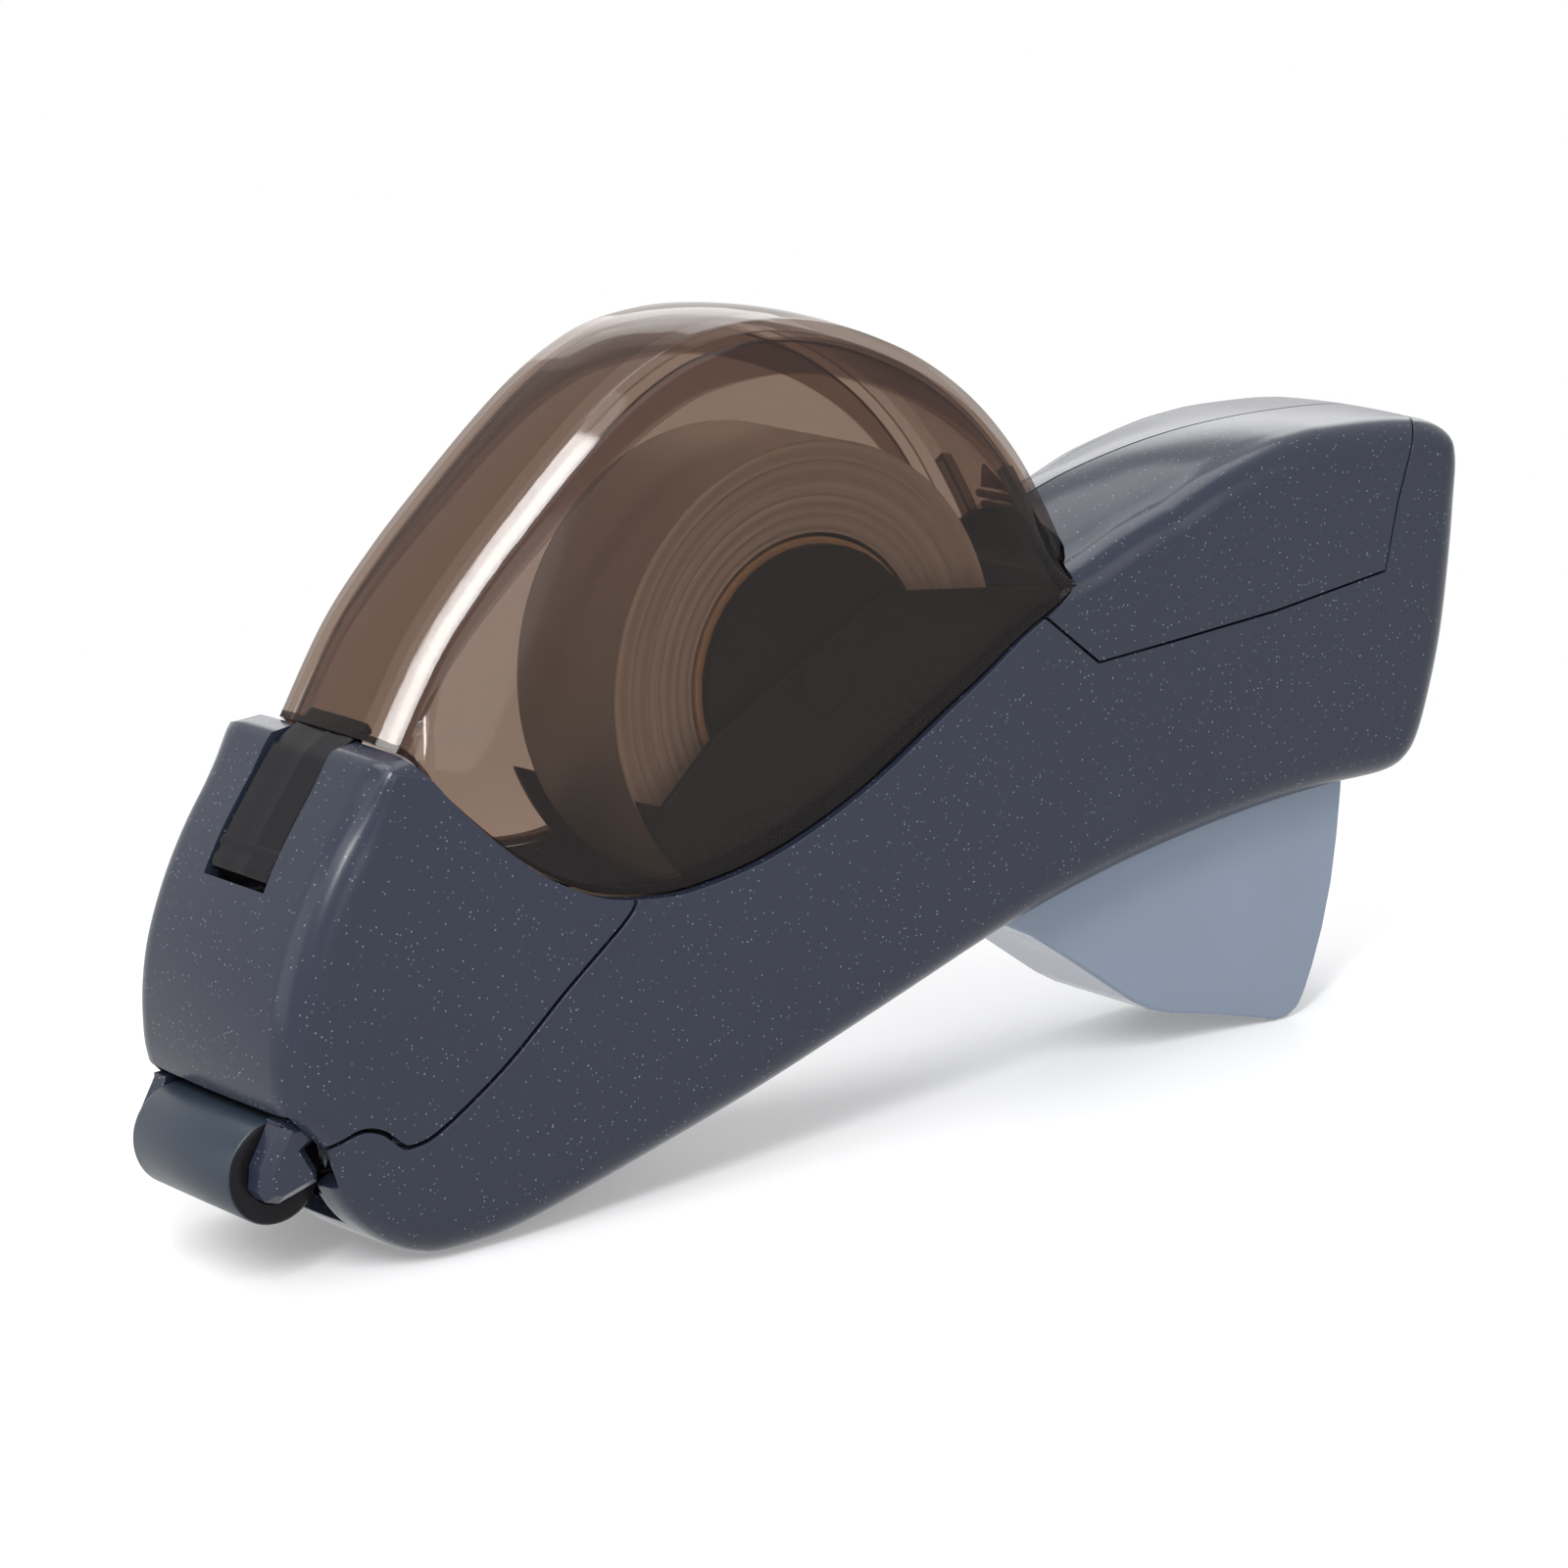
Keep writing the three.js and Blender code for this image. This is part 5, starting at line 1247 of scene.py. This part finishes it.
def cover_point(form, u, row, side):
    """A point of the cover's outer face: u along it, and a row across it."""
    sizes = form.sizes
    top, rim = form.cover_top, form.cover_rim
    where = u * (len(top) - 1)
    i = min(int(where), len(top) - 2)
    point = top[i].lerp(top[i + 1], where - i)
    along = (top[min(i + 2, len(top) - 1)] - top[max(i - 1, 0)]).normalized()
    normal = Vector((-along.y, along.x))
    flat = sizes.cover_top_width / 2 - sizes.cover_edge_radius
    kind, value = row
    if kind == "down":
        at_rim = u * (len(rim) - 1)
        k = min(int(at_rim), len(rim) - 2)
        foot = rim[k].lerp(rim[k + 1], at_rim - k)
        start = point - normal * (sizes.cover_crown + sizes.cover_edge_radius)
        place = start.lerp(foot, value)
        bulge = math.sin(value * math.pi / 2) * (sizes.cover_rim_width - sizes.cover_top_width) / 2
        return Vector((place.x, side * (sizes.cover_top_width / 2 + bulge), place.y))
    if kind == "turn":
        drop = sizes.cover_crown + sizes.cover_edge_radius * (1 - math.cos(value))
        y = flat + sizes.cover_edge_radius * math.sin(value)
    else:
        drop = sizes.cover_crown * (value / flat) ** 2
        y = value
    place = point - normal * drop
    return Vector((place.x, side * y, place.y))


def tint_faces(bm, rows, columns):
    """Gives the cover's border, its top strip and the end of its edge rounding their own tints.
    The top strip's deeper tint is a painted reflection of the cover's inner far wall, together
    with the longer slanted path through the strip.
    """
    bm.verts.ensure_lookup_table()
    bends = {j for j, (_, (kind, value)) in enumerate(rows)
             if (kind == "turn" and value > BEND_FROM) or (kind == "down" and value < BEND_TO)}
    tops = {j for j, (_, (kind, _)) in enumerate(rows) if kind == "middle"}
    layers = ("smoke_edge", "smoke_bend", "smoke_top_painted_reflection")
    edge, bend, top = [COVER_LAYERS.index(layer) for layer in layers]
    for face in bm.faces:
        places = [divmod(vert.index, columns + 1) for vert in face.verts]
        across_face = {place[0] for place in places}
        along_face = {place[1] for place in places}
        if across_face & {0, len(rows) - 1} or along_face & {0, columns}:
            face.material_index = edge
        elif across_face <= bends:
            face.material_index = bend
        # The top strip's deeper tint paints in the reflection of the cover's inner far wall.
        elif across_face <= tops:
            face.material_index = top


def build_cover(form, finish):
    """The see-through cover, with two slits beside its press tab."""
    sizes = form.sizes
    half_tab = sizes.tab_width / 2
    tab_top = TAB_TOP_SHARE * sizes.form_height
    slit_foot = tab_top - sizes.tab_slit_length
    half = [("middle", y) for y in (0.0, half_tab / 2, half_tab, half_tab + sizes.tab_slit)]
    half += [("turn", math.radians(turn)) for turn in COVER_TURNS]
    half += [("down", share) for share in COVER_DROPS]
    rows = [(-1, row) for row in half[:0:-1]] + [(1, row) for row in half]
    top = form.cover_top

    def share_at(z):
        i = next(k for k in range(len(top) - 1, 0, -1) if top[k - 1].y > z >= top[k].y)
        t = (top[i - 1].y - z) / (top[i - 1].y - top[i].y)
        return (i - 1 + t) / (len(top) - 1)

    shares = spread([0.0, COVER_BORDER, share_at(tab_top), 1 - COVER_BORDER, 1.0], 1.0 / len(top))

    def shape(i, j):
        side, row = rows[j]
        return cover_point(form, shares[i], row, side)

    def in_slit(c, i):
        beside = half_tab < abs(c.y) < half_tab + sizes.tab_slit
        return beside and slit_foot < c.z < tab_top and c.x > form.x_at(COVER_REAR_SHARE)

    bm = bmesh.new()
    sheet(bm, len(shares) - 1, len(rows) - 1, shape)
    tint_faces(bm, rows, len(shares) - 1)
    cut_window(bm, in_slit)
    face_out(bm, form.inner((0.27, 0.4)))
    layers = [finish[slot] for slot in COVER_LAYERS]
    cover = piece(bm, "cover_shell", layers, "cover", ["tape_cover"])
    thicken(cover, sizes.cover_wall, rim=COVER_LAYERS.index("smoke_edge"))
    rounded(cover, 0.2 * MM)
    build_tab_marks(form, finish, share_at)


def build_tab_marks(form, finish, share_at):
    """The thumb ribs across the press tab and the raised triangle above them."""
    sizes = form.sizes
    tab_top = TAB_TOP_SHARE * sizes.form_height
    half = sizes.tab_width / 2 - 1.0 * MM
    sunk = -0.2 * MM
    bm = bmesh.new()

    def on_tab(u, y, rise):
        lift = cover_point(form, u, ("middle", 0.0), 1)
        ahead = cover_point(form, u + 0.01, ("middle", 0.0), 1)
        along = (ahead - lift).normalized()
        proud = Vector((-along.z, 0, along.x)) * rise
        return cover_point(form, u, ("middle", abs(y)), 1 if y >= 0 else -1) + proud

    def raised(corners, base, rise):
        field = plate(bm, [on_tab(u, y, sunk) for u, y in corners])
        push(bm, field, on_tab(base, 0, rise) - on_tab(base, 0, sunk))

    for k in range(sizes.tab_ribs):
        top = share_at(tab_top - (RIB_FROM + RIB_PITCH * k) * MM)
        foot = share_at(tab_top - (RIB_TO + RIB_PITCH * k) * MM)
        raised([(top, -half), (top, half), (foot, half), (foot, -half)], top, 0.45 * MM)
    point, base = share_at(tab_top - 0.8 * MM), share_at(tab_top - 3.7 * MM)
    raised([(point, 0), (base, 2.3 * MM), (base, -2.3 * MM)], base, 0.35 * MM)
    bmesh.ops.recalc_face_normals(bm, faces=bm.faces)
    rounded(piece(bm, "tab_marks", finish["smoke_bend"], "cover"), 0.15 * MM)


# The trigger, the tongue, the frame, the rollers and the roll.

def build_trigger(form, finish):
    """The grip, a hollow lever with rounded edges and an open top, and its arm to the carriage."""
    sizes = form.sizes
    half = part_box("trigger")[1].y
    pin = middle_of("trigger_pin")
    boss = 3.6 * MM
    control = form.places(GRIP_SHARES)
    loop = respaced(control + [Vector((pin.x, pin.z + boss)), control[0]], 0.9 * MM)[:-1]
    bm = across(loop, -half, half)
    rims = [edge for edge in bm.edges if len(edge.link_faces) == 2
            and edge.calc_face_angle() > math.radians(60)
            and all(abs(vert.co.y) > 0.9 * half for vert in edge.verts)]
    bmesh.ops.bevel(bm, geom=rims, offset=1.3 * MM, offset_type="OFFSET", segments=5, profile=0.5,
                    affect="EDGES", material=-1, clamp_overlap=True)
    top = GRIP_TOP_SHARE * sizes.form_height
    cut_window(bm, lambda c, i: c.z > top and c.x > pin.x + 2 * boss)
    grip = piece(bm, "trigger_grip", finish["trigger"], "trigger", ["trigger"])
    thicken(grip, 1.6 * MM)
    rounded(grip, 0.3 * MM)
    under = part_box("bay_floor")[0].z - 3.8 * MM
    mouth = form.place(LEVER_MOUTH)
    path = smooth([pin.xz, Vector((middle_of("tape_roll").x, under)),
                   Vector((form.x_at(LEVER_BEND_SHARE), under)), mouth,
                   Vector((middle_of("blade_carriage").x, mouth.y))], 1.5 * MM)
    thick, wide = 1.8 * MM, 6 * MM
    bm = across(moved(path, thick) + moved(path, -thick)[::-1], -wide, wide)
    rounded(piece(bm, "trigger_arm", finish["trigger"], "trigger"), 0.4 * MM)


def build_tongue(form, finish):
    """The strap in the nose's slot, with a ridge along it, a lip at its foot and its barrel."""
    sizes = form.sizes
    foot = SLOT_BOTTOM_SHARE * sizes.form_height + 2 * sizes.gap
    front = [p for p in smooth(form.places(HEAD_SHARES), 0.6 * MM) if p.y > foot]
    inside = [moved(form.cover_top, -0.8 * MM)[1], moved(form.cover_top, -1.2 * MM)[2]]
    path = respaced(moved(front, -0.25 * MM)[:-2] + inside, 0.6 * MM)
    half = sizes.tongue_width / 2
    shares = [-1.0, -0.93, -0.28, -0.20, -0.12, 0.40, 0.93, 1.0]
    rises = [0.05, 0.22, 0.22, 0.36, 0.22, 0.22, 0.22, 0.05]
    normals = outward(path)

    def shape(i, j):
        lip = 0.22 if i in (1, 2) else 0.0
        point = path[i] + normals[i] * (rises[j] + lip - 0.25) * MM
        return Vector((point.x, shares[j] * half, point.y))

    bm = bmesh.new()
    sheet(bm, len(path) - 1, len(shares) - 1, shape)
    face_out(bm, form.inner((0.27, 0.5)))
    strap = piece(bm, "tongue_strap", finish["dark"], "cover", ["hinge_tongue"])
    thicken(strap, 1.5 * MM)
    rounded(strap, 0.18 * MM)
    bore = half_of("cover_hinge_pin", 2) + 0.25 * MM
    bm = turned("cover_hinge_pin", mirrored([(bore, half), (bore + 0.25 * MM, half)]), 48)
    piece(bm, "tongue_barrel", finish["dark"], "cover")


def build_arm(form, finish, side):
    """A side of the front frame: the roller's arm with slanted facets and the nose's plate."""
    sizes = form.sizes
    name = side_name(side)
    low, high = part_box(f"front_frame_{name}")
    inner, outer = sorted((abs(low.y), abs(high.y)))
    axle = middle_of("press_roller").xz
    top = RECESS_TOP_SHARE * sizes.form_height - sizes.gap
    arm, slant = 4.1 * MM, 1.1 * MM
    front = [axle + Vector(share) * arm for share in ARM_FRONT_SHARES]
    rear = [axle + Vector(share) * arm for share in ARM_REAR_SHARES]
    outline = front + rear + [Vector((axle.x + arm, top)), Vector((front[0].x, top))]
    bm = across(outline, side * inner, side * (outer - slant))
    flat = max(bm.faces, key=lambda face: side * face.calc_center_median().y)
    bmesh.ops.inset_region(bm, faces=[flat], thickness=1.0 * MM, depth=slant, use_even_offset=True)
    made = piece(bm, f"roller_arm_{name}", finish["body"], "root", [f"front_frame_{name}"],
                 smooth_angle=30)
    rounded(made, 0.22 * MM, angle=20)
    bm = across(form.places(FRAME_PLATE_SHARES), side * inner, side * (inner + 2 * MM))
    rounded(piece(bm, f"frame_plate_{name}", finish["body"], "root"), 0.3 * MM)


def build_cheek(finish, side):
    """A cheek of the roll bay: a curved plate and a cap over the axle's end."""
    name = side_name(side)
    low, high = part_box(f"roll_cheek_{name}")
    inner = min(abs(low.y), abs(high.y))
    roll = middle_of("tape_roll").xz
    radius = half_of("tape_roll", 2)
    edge = [roll + Vector(share) * radius for share in CHEEK_EDGE_SHARES]
    reach = radius + 0.9 * MM
    first, last = CHEEK_TURN_SHARES
    under = []
    for i in range(CHEEK_STEPS + 1):
        turn = 2 * math.pi * (first + (last - first) * i / CHEEK_STEPS)
        under.append(roll + Vector((math.cos(turn), math.sin(turn))) * reach)
    bm = across(edge + under, side * inner, side * (inner + 1.2 * MM))
    made = piece(bm, f"roll_cheek_plate_{name}", finish["dark"], "root",
                 [f"roll_cheek_{name}"])
    rounded(made, 0.3 * MM)
    end = inner + 1.1 * MM
    cap = [(0.0, end), (3.4 * MM, end), (3.4 * MM, end + 0.5 * MM), (2.9 * MM, end + 0.8 * MM),
           (0.0, end + 0.8 * MM)]
    bm = turned("tape_roll", [(r, side * y) for r, y in cap], 48)
    piece(bm, f"axle_cap_{name}", finish["dark"], "root")


def build_press_roller(finish):
    """The press roller, with a broad dark ring at each of its ends."""
    radius, half = half_of("press_roller", 2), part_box("press_roller")[1].y
    axis = middle_of("press_roller").xz
    deep, low = half - 1.1 * MM, half - 0.4 * MM
    side = [(1.5 * MM, deep), (2.2 * MM, deep), (2.4 * MM, low), (radius - 2.4 * MM, low),
            (radius - 2.2 * MM, half), (radius - 0.5 * MM, half),
            (radius - 0.15 * MM, half - 0.15 * MM), (radius, half - 0.5 * MM)]
    bm = turned("press_roller", mirrored(side), 96)
    for face in bm.faces:
        middle = face.calc_center_median()
        from_axis = math.hypot(middle.x - axis.x, middle.z - axis.y)
        at_end = abs(middle.y) > half - 0.2 * MM or from_axis < radius - 0.6 * MM
        face.material_index = 1 if at_end else 0
    piece(bm, "press_roller_turned", [finish["roller"], finish["dark"]], "press_roller",
          ["press_roller"])


def build_roll(finish):
    """The wound tape with a slightly uneven edge, on its card core."""
    radius, half = half_of("tape_roll", 2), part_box("tape_roll")[1].y
    inner = 15.5 * MM
    side = []
    for i in range(ROLL_RINGS + 1):
        groove = 0.12 if i % 2 else 0.0
        wander = 0.08 * math.sin(i * 1.9) + 0.08
        side.append((inner + (radius - inner) * i / ROLL_RINGS, half - groove * MM - wander * MM))
    bm = turned("tape_roll", mirrored(side), 128)
    for face in bm.faces:
        # The cylinder face takes the darker tape copy, which is painted shade because that face is
        # lit less than the flat sides.
        face.material_index = 1 if abs(face.normal.y) < 0.2 else 0
    piece(bm, "wound_roll", [finish["tape"], finish["tread_painted_shade"]], "reel", ["tape_roll"],
          smooth_angle=60)
    outer, bore = half_of("tape_core", 2), 12.7 * MM
    side = [(bore, half - 0.3 * MM), (bore + 0.3 * MM, half), (outer - 0.2 * MM, half)]
    bm = turned("tape_roll", mirrored(side), 96)
    piece(bm, "card_core", finish["card"], "reel", ["tape_core"])


def dress_frame(finish):
    """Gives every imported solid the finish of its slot."""
    slots = {part["node"]: part["material_slot"] for part in frame["record"]["subparts"]}
    for node, made in frame["nodes"].items():
        made.data.materials.clear()
        made.data.materials.append(finish[slots[node]])


# The stage.

def ray_kinds(finish):
    """1 where a thing is seen directly or through glass, and 1 where it is seen in a mirror."""
    node = finish.add("ShaderNodeLightPath").output.node
    camera, through, glossy = [Wire(finish.tree, node.outputs[f"Is {kind} Ray"])
                               for kind in ("Camera", "Transmission", "Glossy")]
    direct = camera + through
    return direct, (1 - direct) * glossy


def floor_finish(colours):
    """A pale floor that keeps the shadow near the object and is white further out."""
    finish = Finish("pale_floor")
    place = finish.coordinates()
    away = finish.add("ShaderNodeVectorMath", {"operation": "LENGTH"}, {0: place}, output=1)
    fade = finish.add("ShaderNodeMapRange", {"interpolation_type": "SMOOTHSTEP"},
                      {"Value": away, "From Min": 0.06, "From Max": 0.20})
    direct, in_mirror = ray_kinds(finish)
    plain = finish.principled(rgba(colours.floor), 0.6)
    bright = finish.add("ShaderNodeEmission", {}, {"Color": WHITE, "Strength": 1.0})
    factor = (0.25 + fade * 0.75) * direct + in_mirror * 0.9
    return finish.surface(finish.add("ShaderNodeMixShader", {}, {0: factor, 1: plain, 2: bright}))


def studio_world():
    """A white surround that lights the object more softly than it looks."""
    finish = Finish("studio", world=True)
    direct, in_mirror = ray_kinds(finish)
    dim = finish.add("ShaderNodeBackground", {}, {"Color": WHITE, "Strength": 0.45})
    white = finish.add("ShaderNodeBackground", {}, {"Color": WHITE, "Strength": 1.0})
    shader = finish.add("ShaderNodeMixShader", {}, {0: direct + in_mirror, 1: dim, 2: white})
    return finish.surface(shader)


def lamp(name, place, target, size, power, along=None):
    """A rectangular soft lamp that points at a target, with its length along a given way."""
    data = bpy.data.lights.new(name, "AREA")
    data.shape = "RECTANGLE"
    data.size, data.size_y = size
    data.energy = power
    made = bpy.data.objects.new(name, data)
    made.location = place
    aim = (Vector(target) - Vector(place)).normalized()
    turn = aim.to_track_quat("-Z", "Y").to_matrix()
    if along:
        length_way = (Vector(along) - aim * Vector(along).dot(aim)).normalized()
        turn = Matrix((length_way, (-aim).cross(length_way), -aim)).transposed()
    made.rotation_euler = turn.to_euler()
    bpy.context.scene.collection.objects.link(made)


def build_stage(colours):
    """The floor, the lamps, the world and the camera."""
    scene = bpy.context.scene
    bm = bmesh.new()
    bmesh.ops.create_grid(bm, x_segments=4, y_segments=4, size=6.0,
                          matrix=Matrix.Translation((0, 0, -0.1 * MM)))
    mesh = bpy.data.meshes.new("floor")
    bm.to_mesh(mesh)
    bm.free()
    mesh.materials.append(floor_finish(colours))
    floor = bpy.data.objects.new("floor", mesh)
    scene.collection.objects.link(floor)
    scene.world = studio_world()
    for values in LAMPS:
        lamp(*values)

    camera = bpy.data.cameras.new("photo_view")
    camera.lens = CAMERA_LENS
    camera.sensor_width = 36.0
    camera.clip_start = 0.01
    made = bpy.data.objects.new("photo_view", camera)
    made.location = CAMERA_PLACE
    turn = (Matrix.Rotation(math.radians(CAMERA_HEADING), 4, "Z")
            @ Matrix.Rotation(math.radians(90 - CAMERA_PITCH), 4, "X")
            @ Matrix.Rotation(math.radians(CAMERA_ROLL), 4, "Z"))
    made.rotation_euler = turn.to_euler()
    scene.collection.objects.link(made)
    scene.camera = made
    scene.view_settings.view_transform = "Standard"


# The operators, one for each piece or group of like pieces.

class DISPENSER_OT_stage(Operator):
    """Adds the floor, the lamps, the world and the camera"""

    bl_idname = "dispenser.stage"
    bl_label = "Stage"

    def execute(self, context):
        build_stage(context.scene.dispenser_colours)
        return {"FINISHED"}


class DISPENSER_OT_solids(Operator):
    """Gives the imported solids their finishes"""

    bl_idname = "dispenser.solids"
    bl_label = "Inner Solids"

    def execute(self, context):
        dress_frame(finishes(context.scene))
        return {"FINISHED"}


class DISPENSER_OT_nose(Operator):
    """Builds the moulded nose with its slot for the hinge tongue"""

    bl_idname = "dispenser.nose"
    bl_label = "Nose"

    def execute(self, context):
        build_nose(Form(context.scene.dispenser_sizes), finishes(context.scene))
        return {"FINISHED"}


class DISPENSER_OT_halves(Operator):
    """Builds the two halves of the body"""

    bl_idname = "dispenser.halves"
    bl_label = "Body Halves"

    def execute(self, context):
        form = Form(context.scene.dispenser_sizes)
        for side in (-1, 1):
            build_half(form, finishes(context.scene), side)
            build_lips(form, finishes(context.scene), side)
        build_keel_lip(form, finishes(context.scene))
        return {"FINISHED"}


class DISPENSER_OT_panels(Operator):
    """Builds the two panels on top of the handle"""

    bl_idname = "dispenser.panels"
    bl_label = "Handle Panels"

    def execute(self, context):
        form = Form(context.scene.dispenser_sizes)
        for side in (-1, 1):
            build_panel(form, finishes(context.scene), side)
        build_bulkhead(form, finishes(context.scene))
        return {"FINISHED"}


class DISPENSER_OT_cover(Operator):
    """Builds the see-through cover"""

    bl_idname = "dispenser.cover"
    bl_label = "Cover"

    def execute(self, context):
        build_cover(Form(context.scene.dispenser_sizes), finishes(context.scene))
        return {"FINISHED"}


class DISPENSER_OT_trigger(Operator):
    """Builds the trigger's grip and arm"""

    bl_idname = "dispenser.trigger"
    bl_label = "Trigger"

    def execute(self, context):
        build_trigger(Form(context.scene.dispenser_sizes), finishes(context.scene))
        return {"FINISHED"}


class DISPENSER_OT_rollers(Operator):
    """Builds the press roller"""

    bl_idname = "dispenser.rollers"
    bl_label = "Press Roller"

    def execute(self, context):
        build_press_roller(finishes(context.scene))
        return {"FINISHED"}


class DISPENSER_OT_tongue(Operator):
    """Builds the cover's hinge tongue"""

    bl_idname = "dispenser.tongue"
    bl_label = "Hinge Tongue"

    def execute(self, context):
        build_tongue(Form(context.scene.dispenser_sizes), finishes(context.scene))
        return {"FINISHED"}


class DISPENSER_OT_frames(Operator):
    """Builds the front frame's two sides and the roll's two cheeks"""

    bl_idname = "dispenser.frames"
    bl_label = "Roller Arms and Cheeks"

    def execute(self, context):
        form = Form(context.scene.dispenser_sizes)
        for side in (-1, 1):
            build_arm(form, finishes(context.scene), side)
            build_cheek(finishes(context.scene), side)
        return {"FINISHED"}


class DISPENSER_OT_roll(Operator):
    """Builds the roll of tape and its core"""

    bl_idname = "dispenser.roll"
    bl_label = "Roll"

    def execute(self, context):
        build_roll(finishes(context.scene))
        return {"FINISHED"}


OPERATORS = (
    DISPENSER_OT_stage, DISPENSER_OT_solids, DISPENSER_OT_nose, DISPENSER_OT_halves,
    DISPENSER_OT_panels, DISPENSER_OT_cover, DISPENSER_OT_trigger, DISPENSER_OT_rollers,
    DISPENSER_OT_roll, DISPENSER_OT_tongue, DISPENSER_OT_frames,
)


class DISPENSER_PT_pieces(Panel):
    """Lists the pieces of the dispenser."""

    bl_idname = "DISPENSER_PT_pieces"
    bl_label = "Tape Dispenser"
    bl_space_type = "VIEW_3D"
    bl_region_type = "UI"
    bl_category = "Dispenser"

    def draw(self, context):
        for operator in OPERATORS:
            self.layout.operator(operator.bl_idname)


CLASSES = (DispenserSizes, DispenserColours, *OPERATORS, DISPENSER_PT_pieces)


def register():
    """Registers the classes and the settings of the scene."""
    for cls in CLASSES:
        bpy.utils.register_class(cls)
    bpy.types.Scene.dispenser_sizes = PointerProperty(type=DispenserSizes)
    bpy.types.Scene.dispenser_colours = PointerProperty(type=DispenserColours)


def unregister():
    """Takes the settings and the classes out again."""
    del bpy.types.Scene.dispenser_colours
    del bpy.types.Scene.dispenser_sizes
    for cls in reversed(CLASSES):
        bpy.utils.unregister_class(cls)


def main():
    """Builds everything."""
    register()
    for operator in OPERATORS:
        group, name = operator.bl_idname.split(".")
        getattr(getattr(bpy.ops, group), name)()
    bpy.context.view_layer.update()


if __name__ == "__main__":
    main()
